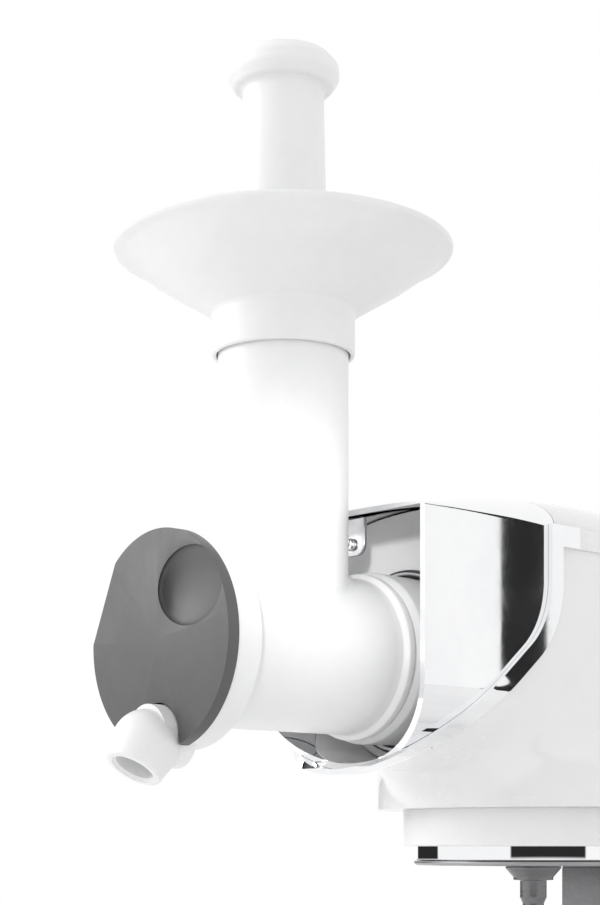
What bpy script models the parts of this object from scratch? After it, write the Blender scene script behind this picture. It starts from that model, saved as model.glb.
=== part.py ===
"""Electric meat grinder: a mincing attachment on the front drive of a tilting-head kitchen machine.

Metres, +Z up. The front faces -Y and the feed screw turns about a line along Y at x = 0.
Distances called "back" are measured towards +Y from the axis of the upright feed tube.
"""

import math

import bmesh
import bpy
from mathutils import Matrix, Vector

# Clearances
GAP = 0.0003
RUNNING = 0.0004

# Height of the underside of the planetary drive, from which the head is measured
HEAD_DATUM = 0.205

# Stand
FOOT_R = 0.012
FOOT_HEIGHT = 0.006
FOOT_INSET = 0.023
FRONT_FOOT_ANGLE = math.radians(40)
BASE_PLATE_THICKNESS = 0.003
BASE_TOP = 0.042
BASE_HALF_WIDTH = 0.105
HINGE_BACK = 0.348
BASE_REAR = HINGE_BACK + 0.047
BASE_WALL = 0.003
BASE_EDGE = 0.008
COLUMN_HALF_WIDTH = 0.048
COLUMN_FRONT = HINGE_BACK - 0.046
COLUMN_REAR = HINGE_BACK + 0.042
COLUMN_TOP = HEAD_DATUM + 0.001
COLUMN_WALL = 0.004
COLUMN_EDGE = 0.012
HINGE_Z = HEAD_DATUM + 0.065
HINGE_PIN_R = 0.005
TONGUE_R = 0.021
TONGUE_HALF_WIDTH = 0.024
KNOB_R = 0.019
KNOB_DEPTH = 0.015
KNOB_Z = 0.120
KNOB_SPINDLE_R = 0.003
LEVER_Z = 0.180
LEVER_HUB_R = 0.010
LEVER_REACH = 0.034
LEVER_THICKNESS = 0.007
INLET_R = 0.008
INLET_BORE_R = 0.0045
INLET_Z = 0.068

# Head
HEAD_HALF_WIDTH = 0.0575
HEAD_FRONT = 0.032
HEAD_REAR = HINGE_BACK + 0.045
HEAD_WALL = 0.003
BARREL_Z = HEAD_DATUM + 0.088
BARREL_R = 0.036
COLLAR_R = BARREL_R + 0.0035
HUB_R = COLLAR_R + 0.0045
HEAD_LOW = BARREL_Z - HUB_R - 0.008
HEAD_ROUND_Z = BARREL_Z - 0.011
SHOULDER_Z = BARREL_Z + HUB_R + 0.019
CROWN_FRONT = 0.003
CROWN_TOP = 0.020
CROWN_BACK = 0.150
REAR_ROUND = 0.070
COWL_REAR = 0.118
COWL_SWEEP_R = 0.045
COWL_SWEEP_ANGLE = math.radians(40)
COWL_FRONT_ARC_R = 0.077
LIP_BACK = 0.0374
LIP_Z = HEAD_LOW
RIM_WIDTH = 0.008
RIM_PROUD = 0.0025
BELT_HEIGHT = 0.010
BELT_PROUD = 0.0012
PANEL_BACK = 0.085
PANEL_THICKNESS = 0.003
SCREW_R = 0.0030
TAB_X = -0.009
TAB_WIDTH = 0.016
TAB_DROP = 0.0175
TAB_ROOF_GAP = 0.0008

# Planetary drive
PLANET_BACK = 0.180
CHIN_R = 0.088
CHIN_LOW = HEAD_DATUM + 0.019
CHIN_HIGH = HEAD_DATUM + 0.062
GUARD_R = CHIN_R - 0.014
GUARD_WALL = 0.003
BAND_R = GUARD_R - 0.0064
BAND_LOW = HEAD_DATUM - 0.0067
PLATE_R = BAND_R + 0.0009
PLATE_THICKNESS = 0.0022
PLANET_SHAFT_R = 0.0048
RING_GEAR_TEETH = 44
PLANET_PINION_TEETH = 20
GEAR_FACE = 0.010
GEAR_ROOT_DEPTH = 0.0016
TOOL_X = 0.014
TOOL_FORWARD = 0.027
TOOL_SHAFT_R = 0.0066
TOOL_CONE_R = 0.0138
TOOL_CONE_HEIGHT = 0.0055
TOOL_LENGTH = 0.045
BLOCK_X = 0.005
BLOCK_BEHIND = 0.035
BLOCK_SIZE = 0.028
BLOCK_HEIGHT = 0.026

# Motor and belt
MOTOR_BACK = PLANET_BACK + 0.096
MOTOR_R = 0.036
MOTOR_WALL = 0.0022
MOTOR_LOW = HEAD_LOW + 0.015
MOTOR_HEIGHT = 0.076
ARMATURE_R = 0.025
STATOR_WALL = 0.006
MOTOR_SHAFT_R = 0.004
BELT_Z = SHOULDER_Z - 0.012
BELT_WIDTH = 0.010
BELT_THICKNESS = 0.0016
MOTOR_PULLEY_R = 0.009
PLANET_PULLEY_R = HEAD_HALF_WIDTH - 0.0125
MOTOR_PULLEY_TEETH = 8
PLANET_PULLEY_TEETH = 40

# Front drive and mincing attachment
BARREL_WALL = 0.003
BARREL_FRONT = -0.058
BARREL_BORE_REAR = PANEL_BACK - 0.025
LUG_R = BARREL_R + 0.0065
LUG_LENGTH = 0.0055
COLLAR_REAR = PANEL_BACK - 0.005
COLLAR_FRONT = COLLAR_REAR - 0.031
BEAD_PROUD = 0.0022
BEAD_WIDTH = 0.004
SPIGOT_R = 0.020
SPIGOT_REAR = COLLAR_REAR + 0.020
SPIGOT_BORE_R = 0.0125
HUB_FRONT = PANEL_BACK - 0.011
PTO_R = 0.008
PTO_FRONT = COLLAR_REAR - 0.010
BEVEL_R = 0.0165
TUBE_R = 0.0293
TUBE_WALL = 0.0033
TUBE_TOP = HEAD_DATUM + 0.236
TRAY_COLLAR_R = TUBE_R + 0.0029
TRAY_COLLAR_LOW = TUBE_TOP - 0.016
TRAY_FOOT_Z = TUBE_TOP + 0.004
TRAY_RIM_R = 0.0764
TRAY_RIM_Z = TRAY_FOOT_Z + 0.028
TRAY_WALL = 0.0022
PUSHER_LOW_Z = BARREL_Z + BARREL_R + 0.002
PUSHER_FOOT_R = TUBE_R - TUBE_WALL - 0.0057
PUSHER_NECK_R = PUSHER_FOOT_R - 0.0024
PUSHER_HEAD_LOW = TRAY_RIM_Z + 0.073
PUSHER_HEAD_HIGH = PUSHER_HEAD_LOW + 0.014
PUSHER_HEAD_R = PUSHER_NECK_R + 0.0068
PUSHER_WALL = 0.0025
SCREW_CORE_R = 0.0095
STUD_R = 0.0045
FLIGHT_R = BARREL_R - BARREL_WALL - 0.0015
FLIGHT_THICKNESS = 0.0035
FLIGHT_PITCH = 0.026
FLIGHT_FRONT = BARREL_FRONT + 0.024
FLIGHT_REAR = BARREL_BORE_REAR - 0.006
KNIFE_THICKNESS = 0.006
KNIFE_REACH = BARREL_R - BARREL_WALL - 0.002
KNIFE_HUB_R = 0.011
MINCING_PLATE_THICKNESS = 0.006
HOLE_R = 0.0024
HOLE_RINGS = ((0.0125, 8), (0.0210, 14))
OUTLET_R = LUG_R + 0.0038
OUTLET_FRONT = BARREL_FRONT - 0.0065
OUTLET_REAR = BARREL_FRONT + 0.0075
OUTLET_WALL = 0.003
CAP_R = OUTLET_R + 0.001
CAP_THICKNESS = 0.0057
CAP_CHORD = CAP_R - 0.004
CAP_CHORD_ANGLE = math.radians(154.5)
SCOOP_X = 0.0215
SCOOP_UP = 0.021
SCOOP_HALF_WIDTH = 0.0235
SCOOP_HALF_HEIGHT = 0.0168
SCOOP_DEPTH = 0.0046
SCOOP_TILT = math.radians(5)
SPOUT_FORWARD = OUTLET_FRONT - 0.0120
SPOUT_DOWN = OUTLET_R - 0.0018
SPOUT_ANGLE = math.radians(57)
SPOUT_LENGTH = 0.0131
SPOUT_ROOT_R = 0.0150
SPOUT_TIP_R = 0.0125
SPOUT_BORE_R = 0.0085
NECK_R = 0.0135
NECK_BORE_R = 0.0075
NECK_DOWN = SPOUT_DOWN - 0.0035

# The whole object is centred on the origin, so the feed tube stands this far in front of it.
SPOUT_TIP_FORWARD = -SPOUT_FORWARD + SPOUT_LENGTH * math.cos(SPOUT_ANGLE)
SPOUT_REACH = SPOUT_TIP_FORWARD + SPOUT_TIP_R * math.sin(SPOUT_ANGLE)
TUBE_Y = (SPOUT_REACH - BASE_REAR) / 2

ROUND = 32
SMALL_ROUND = 16
LARGE_ROUND = 40


def start():
    """Empty the scene and make the collections of the object and of its cutters."""
    for item in list(bpy.data.objects):
        bpy.data.objects.remove(item, do_unlink=True)
    parts = bpy.data.collections.new("electric_meat_grinder")
    cutters = bpy.data.collections.new("cutters")
    cutters.hide_render = True
    for group in (parts, cutters):
        bpy.context.scene.collection.children.link(group)
    return parts, cutters


PARTS, CUTTERS = start()


def finish(name, colour, roughness, metallic=0.0):
    """A plain Principled material."""
    material = bpy.data.materials.new(name)
    material.use_nodes = True
    shader = material.node_tree.nodes["Principled BSDF"]
    shader.inputs["Base Color"].default_value = (*colour, 1.0)
    shader.inputs["Roughness"].default_value = roughness
    shader.inputs["Metallic"].default_value = metallic
    return material


FINISHES = {
    "white": ((0.86, 0.86, 0.87), 0.32, 0.0),
    "shell": ((0.88, 0.88, 0.88), 0.18, 0.0),
    "grey": ((0.15, 0.15, 0.16), 0.45, 0.0),
    "chrome": ((0.9, 0.9, 0.92), 0.05, 1.0),
    "steel": ((0.6, 0.6, 0.62), 0.25, 1.0),
    "rubber": ((0.03, 0.03, 0.03), 0.8, 0.0),
    "gear": ((0.7, 0.68, 0.6), 0.5, 0.0),
    "brass": ((0.75, 0.6, 0.3), 0.3, 1.0),
    "board": ((0.05, 0.2, 0.08), 0.6, 0.0),
    "panel": ((0.62, 0.62, 0.63), 0.4, 0.0),
}


def back(distance):
    """World Y of a place this far behind the feed tube's axis."""
    return TUBE_Y + distance


def put_mesh(name, bm, collection):
    """Turn a bmesh into an object with outward faces."""
    bmesh.ops.remove_doubles(bm, verts=bm.verts, dist=0.000002)
    bmesh.ops.recalc_face_normals(bm, faces=bm.faces)
    mesh = bpy.data.meshes.new(name)
    bm.to_mesh(mesh)
    bm.free()
    item = bpy.data.objects.new(name, mesh)
    collection.objects.link(item)
    return item


def settle(item):
    """Replace an object's modifiers, curve and placing by the plain mesh they give."""
    bpy.context.view_layer.update()
    graph = bpy.context.evaluated_depsgraph_get()
    mesh = bpy.data.meshes.new_from_object(item.evaluated_get(graph))
    bm = bmesh.new()
    bm.from_mesh(mesh)
    bm.transform(item.matrix_world)
    name = item.name
    collection = item.users_collection[0]
    bpy.data.objects.remove(item, do_unlink=True)
    return put_mesh(name, bm, collection)


def turned(name, profile, place, steps=ROUND, ring=False):
    """A turned solid: (radius, height) points from the top down its outer side, about Z, then placed."""
    bm = bmesh.new()
    points = [bm.verts.new((radius, 0.0, height)) for radius, height in profile]
    for first, second in zip(points, points[1:]):
        bm.edges.new((first, second))
    if ring:
        bm.edges.new((points[-1], points[0]))
    mesh = bpy.data.meshes.new(name)
    bm.to_mesh(mesh)
    bm.free()
    item = bpy.data.objects.new(name, mesh)
    CUTTERS.objects.link(item)
    screw = item.modifiers.new("turn", "SCREW")
    screw.axis = "Z"
    screw.steps = steps
    screw.render_steps = steps
    screw.use_merge_vertices = True
    screw.merge_threshold = 0.00001
    item.matrix_world = place
    return settle(item)


def upright(x, distance, z=0.0):
    """Placing for a solid turned about a vertical line."""
    return Matrix.Translation((x, back(distance), z))


def along_y(z=BARREL_Z, x=0.0):
    """Placing for a solid turned about a line along Y, whose profile heights are distances behind the tube."""
    return Matrix.Translation((x, TUBE_Y, z)) @ Matrix.Rotation(-math.pi / 2, 4, "X")


def along_x(distance, z, side=1):
    """Placing for a solid turned about a line along X, its heights running outwards on that side."""
    return Matrix.Translation((0.0, back(distance), z)) @ Matrix.Rotation(side * math.pi / 2, 4, "Y")


def ring_profile(outer, inner, high, low):
    """Closed profile of a plain ring."""
    return [(outer, high), (outer, low), (inner, low), (inner, high)]


def rod_profile(radius, high, low, edge=0.0):
    """Profile of a plain rod with small edge chamfers."""
    if not edge:
        return [(0.0, high), (radius, high), (radius, low), (0.0, low)]
    return [
        (0.0, high),
        (radius - edge, high),
        (radius, high - edge),
        (radius, low + edge),
        (radius - edge, low),
        (0.0, low),
    ]


def block(name, low, high, edge=0.0, segments=2):
    """A rounded box between two corners."""
    bm = bmesh.new()
    centre = (Vector(low) + Vector(high)) / 2
    size = Vector(high) - Vector(low)
    place = Matrix.Translation(centre) @ Matrix.Diagonal((*size, 1.0))
    bmesh.ops.create_cube(bm, size=1.0, matrix=place)
    item = put_mesh(name, bm, CUTTERS)
    if edge:
        bevel = item.modifiers.new("edges", "BEVEL")
        bevel.width = edge
        bevel.segments = segments
        item = settle(item)
    return item


def flat(name, outline, thickness, place):
    """A flat piece: a 2D curve outline, extruded by its thickness about z = 0, then placed."""
    curve = bpy.data.curves.new(name, "CURVE")
    curve.dimensions = "2D"
    curve.fill_mode = "BOTH"
    curve.extrude = thickness / 2
    spline = curve.splines.new("POLY")
    spline.points.add(len(outline) - 1)
    for point, (u, v) in zip(spline.points, outline):
        point.co = (u, v, 0.0, 1.0)
    spline.use_cyclic_u = True
    item = bpy.data.objects.new(name, curve)
    CUTTERS.objects.link(item)
    item.matrix_world = place
    return settle(item)


def side_view(thickness_centre=0.0):
    """Placing that turns (back, height) outlines into solids extruded along X."""
    turn = Matrix(((0, 0, 1, thickness_centre), (1, 0, 0, TUBE_Y), (0, 1, 0, 0), (0, 0, 0, 1)))
    return turn


def boolean(item, other, operation="DIFFERENCE"):
    """Apply an exact Boolean and delete its cutter."""
    cut = item.modifiers.new("boolean", "BOOLEAN")
    cut.operation = operation
    cut.solver = "EXACT"
    cut.object = other
    item = settle(item)
    bpy.data.objects.remove(other, do_unlink=True)
    return item


def copied(item):
    """A second object with the same mesh, for one more Boolean."""
    twin = bpy.data.objects.new(item.name, item.data.copy())
    CUTTERS.objects.link(twin)
    return twin


def arc(centre, radius, start, end, count):
    """Points along an arc, with angles in radians."""
    steps = [start + (end - start) * index / count for index in range(count + 1)]
    return [(centre[0] + radius * math.cos(a), centre[1] + radius * math.sin(a)) for a in steps]


def rounded(low, high, radius, count=4):
    """Rounded rectangle outline between two corners."""
    corners = (
        ((high[0] - radius, high[1] - radius), 0.0),
        ((low[0] + radius, high[1] - radius), math.pi / 2),
        ((low[0] + radius, low[1] + radius), math.pi),
        ((high[0] - radius, low[1] + radius), 1.5 * math.pi),
    )
    points = []
    for centre, angle in corners:
        points += arc(centre, radius, angle, angle + math.pi / 2, count)
    return points


def toothed(root, tip, teeth):
    """Outline of a toothed wheel with plain trapezoid teeth."""
    points = []
    for index in range(teeth):
        for share, radius in ((0.0, root), (0.22, root), (0.38, tip), (0.84, tip)):
            angle = (index + share) * math.tau / teeth
            points.append((radius * math.cos(angle), radius * math.sin(angle)))
    return points


def keep(item, name, style, pivot=None):
    """Move a finished solid into the object, with its own material and its origin on its joint's axis."""
    for collection in list(item.users_collection):
        collection.objects.unlink(item)
    PARTS.objects.link(item)
    item.name = name
    colour, roughness, metallic = FINISHES[style]
    item.data.materials.clear()
    item.data.materials.append(finish(name, colour, roughness, metallic))
    for face in item.data.polygons:
        face.use_smooth = True
    item.data.set_sharp_from_angle(angle=math.radians(35))
    if pivot is not None:
        item.data.transform(Matrix.Translation(-Vector(pivot)))
        item.location = pivot
    return item


# ---- Stand ----


def base_outline(inset=0.0):
    """Plan of the base: a half round under the bowl, straight sides and rounded rear corners."""
    width = BASE_HALF_WIDTH - inset
    rear = back(BASE_REAR) - inset
    corner = 0.030
    centre = (0.0, back(PLANET_BACK))
    points = arc(centre, width, math.pi, math.tau, 28)
    points += arc((width - corner, rear - corner), corner, 0.0, math.pi / 2, 5)
    points += arc((corner - width, rear - corner), corner, math.pi / 2, math.pi, 5)
    return points


def foot_places():
    """Centres of the four feet, on the plan of the base."""
    side = BASE_HALF_WIDTH - FOOT_INSET
    front_side = side * math.cos(FRONT_FOOT_ANGLE)
    front = PLANET_BACK - side * math.sin(FRONT_FOOT_ANGLE)
    rear = BASE_REAR - FOOT_INSET - 0.008
    return {
        "front_left": (-front_side, front),
        "front_right": (front_side, front),
        "rear_left": (-side, rear),
        "rear_right": (side, rear),
    }


def make_base():
    """Base housing, open below, its bottom plate and its feet."""
    low = FOOT_HEIGHT
    height = BASE_TOP - low
    middle = Matrix.Translation((0.0, 0.0, low + height / 2))
    shell = flat("shell", base_outline(), height, middle)
    edge = shell.modifiers.new("edges", "BEVEL")
    edge.width = BASE_EDGE
    edge.segments = 2
    shell = settle(shell)
    inner_height = height - BASE_WALL + 0.010
    inner = Matrix.Translation((0.0, 0.0, BASE_TOP - BASE_WALL - inner_height / 2))
    shell = boolean(shell, flat("hollow", base_outline(BASE_EDGE + 0.0005), inner_height, inner))
    keep(shell, "base_housing", "shell")
    plate_top = low + BASE_EDGE * 0.25 + BASE_PLATE_THICKNESS
    plate_middle = Matrix.Translation((0.0, 0.0, plate_top - BASE_PLATE_THICKNESS / 2))
    plate = flat("plate", base_outline(BASE_EDGE + 0.0005 + GAP), BASE_PLATE_THICKNESS, plate_middle)
    keep(plate, "base_bottom_plate", "grey")
    foot_top = plate_top - BASE_PLATE_THICKNESS - GAP
    for name, (x, distance) in foot_places().items():
        profile = rod_profile(FOOT_R, foot_top, 0.0, 0.0015)
        keep(turned("foot", profile, upright(x, distance), SMALL_ROUND), f"foot_{name}", "rubber")
    seat_profile = [(0.062, 0.004), (0.066, 0.0), (0.055, 0.0), (0.055, 0.004)]
    seat = turned("seat", seat_profile, upright(0.0, PLANET_BACK, BASE_TOP + GAP), ring=True)
    keep(seat, "bowl_seat_ring", "steel")


def make_column():
    """Hollow column with the hinge tongue on top, and the fixed pieces on it."""
    low = BASE_TOP + GAP
    front = back(COLUMN_FRONT)
    rear = back(COLUMN_REAR)
    outline = rounded((-COLUMN_HALF_WIDTH, front), (COLUMN_HALF_WIDTH, rear), COLUMN_EDGE)
    middle = Matrix.Translation((0.0, 0.0, (low + COLUMN_TOP) / 2))
    column = flat("column", outline, COLUMN_TOP - low, middle)
    inside = rounded(
        (COLUMN_WALL - COLUMN_HALF_WIDTH, front + COLUMN_WALL),
        (COLUMN_HALF_WIDTH - COLUMN_WALL, rear - COLUMN_WALL),
        COLUMN_EDGE - COLUMN_WALL / 2,
    )
    depth = COLUMN_TOP - COLUMN_WALL - low + 0.010
    hollow_middle = Matrix.Translation((0.0, 0.0, COLUMN_TOP - COLUMN_WALL - depth / 2))
    column = boolean(column, flat("hollow", inside, depth, hollow_middle))
    foot = COLUMN_TOP - 0.002
    tongue = [(HINGE_BACK + TONGUE_R, foot)]
    tongue += arc((HINGE_BACK, HINGE_Z), TONGUE_R, 0.0, math.pi, 16)
    tongue += [(HINGE_BACK - TONGUE_R, foot)]
    column = boolean(column, flat("tongue", tongue, 2 * TONGUE_HALF_WIDTH, side_view()), "UNION")
    bore = turned(
        "bore", rod_profile(HINGE_PIN_R + RUNNING, 0.06, -0.06), along_x(HINGE_BACK, HINGE_Z), SMALL_ROUND
    )
    column = boolean(column, bore)
    wall = (0.0, COLUMN_HALF_WIDTH + 0.010)
    spindle_hole = rod_profile(KNOB_SPINDLE_R + RUNNING, wall[1], COLUMN_HALF_WIDTH - 0.010)
    knob_place = along_x(HINGE_BACK, KNOB_Z)
    column = boolean(column, turned("hole", spindle_hole, knob_place, SMALL_ROUND))
    lever_place = along_x(HINGE_BACK, LEVER_Z)
    column = boolean(column, turned("hole", spindle_hole, lever_place, SMALL_ROUND))
    inlet_hole = rod_profile(INLET_BORE_R, COLUMN_REAR + 0.01, COLUMN_REAR - 0.01)
    column = boolean(column, turned("hole", inlet_hole, along_y(INLET_Z), SMALL_ROUND))
    keep(column, "column", "shell")
    inlet = ring_profile(INLET_R, INLET_BORE_R, COLUMN_REAR + 0.0045, COLUMN_REAR + GAP)
    keep(turned("inlet", inlet, along_y(INLET_Z), SMALL_ROUND, ring=True), "cable_gland", "rubber")
    switch = block(
        "switch",
        (0.012, back(HINGE_BACK) - 0.014, KNOB_Z - 0.014),
        (0.036, back(HINGE_BACK) + 0.014, KNOB_Z + 0.014),
    )
    keep(switch, "speed_switch", "grey")
    board = block(
        "board",
        (-0.030, back(HINGE_BACK) - 0.030, KNOB_Z - 0.030),
        (-0.0284, back(HINGE_BACK) + 0.030, KNOB_Z + 0.030),
    )
    keep(board, "control_board", "board")


def make_controls():
    """Speed knob and head release lever, each with its own spindle."""
    inner = COLUMN_HALF_WIDTH - COLUMN_WALL - 0.005
    face = COLUMN_HALF_WIDTH + GAP
    profile = [
        (0.0, face + KNOB_DEPTH),
        (KNOB_R - 0.003, face + KNOB_DEPTH),
        (KNOB_R - 0.001, face + KNOB_DEPTH - 0.002),
        (KNOB_R, face),
        (KNOB_SPINDLE_R, face),
        (KNOB_SPINDLE_R, inner),
        (0.0, inner),
    ]
    knob = turned("knob", profile, along_x(HINGE_BACK, KNOB_Z), SMALL_ROUND)
    keep(knob, "speed_knob", "grey", (face, back(HINGE_BACK), KNOB_Z))
    hub_top = face + LEVER_THICKNESS
    hub = [(0.0, hub_top), (LEVER_HUB_R, hub_top), (LEVER_HUB_R, face), (KNOB_SPINDLE_R, face)]
    hub += [(KNOB_SPINDLE_R, inner), (0.0, inner)]
    lever = turned("lever", hub, along_x(HINGE_BACK, LEVER_Z), SMALL_ROUND)
    arm = arc((HINGE_BACK, LEVER_Z), LEVER_HUB_R - 0.001, -math.pi / 2, math.pi / 2, 8)
    arm += arc((HINGE_BACK - LEVER_REACH, LEVER_Z), 0.006, math.pi / 2, 1.5 * math.pi, 8)
    arm_thickness = LEVER_THICKNESS - 0.001
    arm_middle = side_view(face + 0.0005 + arm_thickness / 2)
    lever = boolean(lever, flat("arm", arm, arm_thickness, arm_middle), "UNION")
    keep(lever, "head_release_lever", "grey", (face, back(HINGE_BACK), LEVER_Z))


# ---- Head ----


def crown(distance):
    """Height of the head's roof above its shoulder, on the centre line."""
    share = min(1.0, (distance - HEAD_FRONT) / (CROWN_BACK - HEAD_FRONT))
    return CROWN_FRONT + (CROWN_TOP - CROWN_FRONT) * math.sin(share * math.pi / 2)


def head_section(distance, grow=0.0):
    """Outline of the head across the machine: a round keel, upright sides and a crowned roof."""
    past = max(0.0, (distance - (HEAD_REAR - REAR_ROUND)) / REAR_ROUND)
    pull = 1.0 - math.sqrt(max(0.0, 1.0 - min(1.0, past) ** 2.6))
    width = (HEAD_HALF_WIDTH + grow) * (1.0 - 0.45 * pull)
    low = HEAD_LOW - grow + 0.020 * pull
    rise = crown(min(distance, HEAD_REAR)) * (1.0 - 0.5 * pull) + grow
    shoulder = SHOULDER_Z - 0.022 * pull
    points = []
    for x, drop in arc((0.0, 0.0), 1.0, 0.0, -math.pi, 20):
        points.append(Vector((x * width, back(distance), HEAD_ROUND_Z + drop * (HEAD_ROUND_Z - low))))
    for x, lift in arc((0.0, 0.0), 1.0, math.pi, 0.0, 20):
        points.append(Vector((x * width, back(distance), shoulder + lift * rise)))
    return points


def stations(first, last):
    """Places along the head at which its outline is taken."""
    places = [HEAD_FRONT, 0.060, PANEL_BACK, PANEL_BACK + PANEL_THICKNESS, COWL_REAR, CROWN_BACK, 0.24, HEAD_REAR - REAR_ROUND]
    places += [HEAD_REAR - REAR_ROUND * share for share in (0.75, 0.5, 0.3, 0.15, 0.05, 0.0)]
    return [first] + [place for place in places if first < place < last] + [last]


def head_form(grow, first, last):
    """The head's outer form grown by an even amount, between two places along it."""
    bm = bmesh.new()
    rings = []
    for distance in stations(first, last):
        rings.append([bm.verts.new(point) for point in head_section(distance, grow)])
    for ring, following in zip(rings, rings[1:]):
        for index in range(len(ring)):
            after = (index + 1) % len(ring)
            bm.faces.new((ring[index], ring[after], following[after], following[index]))
    bm.faces.new(rings[0])
    bm.faces.new(rings[-1][::-1])
    return put_mesh("form", bm, CUTTERS)


def sweep_path(offset=0.0):
    """Side view of the line where the bright cowl meets the head shell, moved sideways by an offset."""
    turn = math.pi / 2 - COWL_SWEEP_ANGLE
    corner_z = LIP_Z + (COWL_REAR - LIP_BACK) * math.tan(COWL_SWEEP_ANGLE)
    tangent = COWL_SWEEP_R * math.tan(turn / 2)
    centre = (COWL_REAR - COWL_SWEEP_R, corner_z + tangent)
    radius = COWL_SWEEP_R + offset
    start = (
        LIP_BACK - 0.020 * math.cos(COWL_SWEEP_ANGLE) + offset * math.sin(COWL_SWEEP_ANGLE),
        LIP_Z - 0.020 * math.sin(COWL_SWEEP_ANGLE) - offset * math.cos(COWL_SWEEP_ANGLE),
    )
    return [start] + arc(centre, radius, -turn, 0.0, 8)


def sweep_line(distance):
    """Height of the straight lower stretch of the sweep line at a place along the head."""
    return LIP_Z + (distance - LIP_BACK) * math.tan(COWL_SWEEP_ANGLE)


ABOVE = SHOULDER_Z + 0.060
BELOW = HEAD_DATUM - 0.030


def cowl_region():
    """Everything in front of the sweep line and behind the cowl's open front."""
    path = sweep_path(-GAP / 2)
    top = [(COWL_REAR - GAP / 2, ABOVE), (HEAD_FRONT, ABOVE)]
    front = arc(
        (HEAD_FRONT + COWL_FRONT_ARC_R, HEAD_ROUND_Z + 0.003), COWL_FRONT_ARC_R, math.pi, 1.28 * math.pi, 6
    )
    crossing = [point for point in front if point[1] > sweep_line(point[0]) + 2 * GAP]
    foot = crossing[-1][0] + GAP
    meet = (foot, sweep_line(foot) + GAP / 2 / math.cos(COWL_SWEEP_ANGLE))
    return top + crossing + [meet] + path[1:]


def lower_region():
    """Everything behind and below the sweep line, up to the seam of the top cover."""
    seam = SHOULDER_Z - BELT_HEIGHT / 2 - GAP / 2
    path = sweep_path(GAP / 2)
    rear = HEAD_REAR + 0.050
    return path + [(COWL_REAR + GAP / 2, seam), (rear, seam), (rear, BELOW), (path[0][0], BELOW)]


def cover_region():
    """Everything behind the cowl and above the seam."""
    seam = SHOULDER_Z - BELT_HEIGHT / 2 + GAP / 2
    front = COWL_REAR + GAP / 2
    rear = HEAD_REAR + 0.050
    return [(front, seam), (rear, seam), (rear, ABOVE), (front, ABOVE)]


def rim_region():
    """A strip of even width along the sweep line, with a short foot at its top."""
    half = RIM_WIDTH / 2
    top = SHOULDER_Z
    foot = COWL_REAR + 0.016
    outer = sweep_path(half)
    inner = sweep_path(-half)
    head = [(COWL_REAR + half, top - BELT_HEIGHT), (foot, top - BELT_HEIGHT), (foot, top)]
    return outer + head + [(COWL_REAR - half, top)] + inner[::-1]


def head_skin():
    """The hollow outer skin of the head, open at the front."""
    skin = head_form(0.0, HEAD_FRONT, HEAD_REAR)
    return boolean(skin, head_form(-HEAD_WALL, HEAD_FRONT - 0.010, HEAD_REAR - HEAD_WALL))


def strip_on(region, proud, first, last):
    """A trim strip that stands proud of the head's skin inside a side-view region."""
    strip = head_form(proud + GAP, first, last)
    strip = boolean(strip, head_form(GAP, first - 0.010, last + 0.020))
    return boolean(strip, flat("region", region, 0.3, side_view()), "INTERSECT")


def make_cowl():
    """Bright cowl, its rim strip, and the belt strip round the seam."""
    cowl = boolean(head_skin(), flat("region", cowl_region(), 0.3, side_view()), "INTERSECT")
    keep(cowl, "front_cowl", "chrome")
    rim = strip_on(rim_region(), RIM_PROUD, HEAD_FRONT, COWL_REAR + 0.030)
    keep(rim, "cowl_rim", "chrome")


def make_belt():
    """The two strips that hide the seam along the sides of the head."""
    high = SHOULDER_Z
    low = high - BELT_HEIGHT
    first = COWL_REAR + 0.016 + GAP
    last = HEAD_REAR - REAR_ROUND
    region = [(first, low), (last, low), (last, high), (first, high)]
    both = strip_on(region, BELT_PROUD, first - 0.005, last + 0.005)
    wide = 0.2
    for name, side in (("left", -1), ("right", 1)):
        corners = sorted((0.0, side * wide))
        half = block("half", (corners[0], -wide, low - wide), (corners[1], 2 * wide, high + wide))
        strip = boolean(copied(both), half, "INTERSECT")
        keep(strip, f"belt_strip_{name}", "shell")
    bpy.data.objects.remove(both, do_unlink=True)


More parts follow.
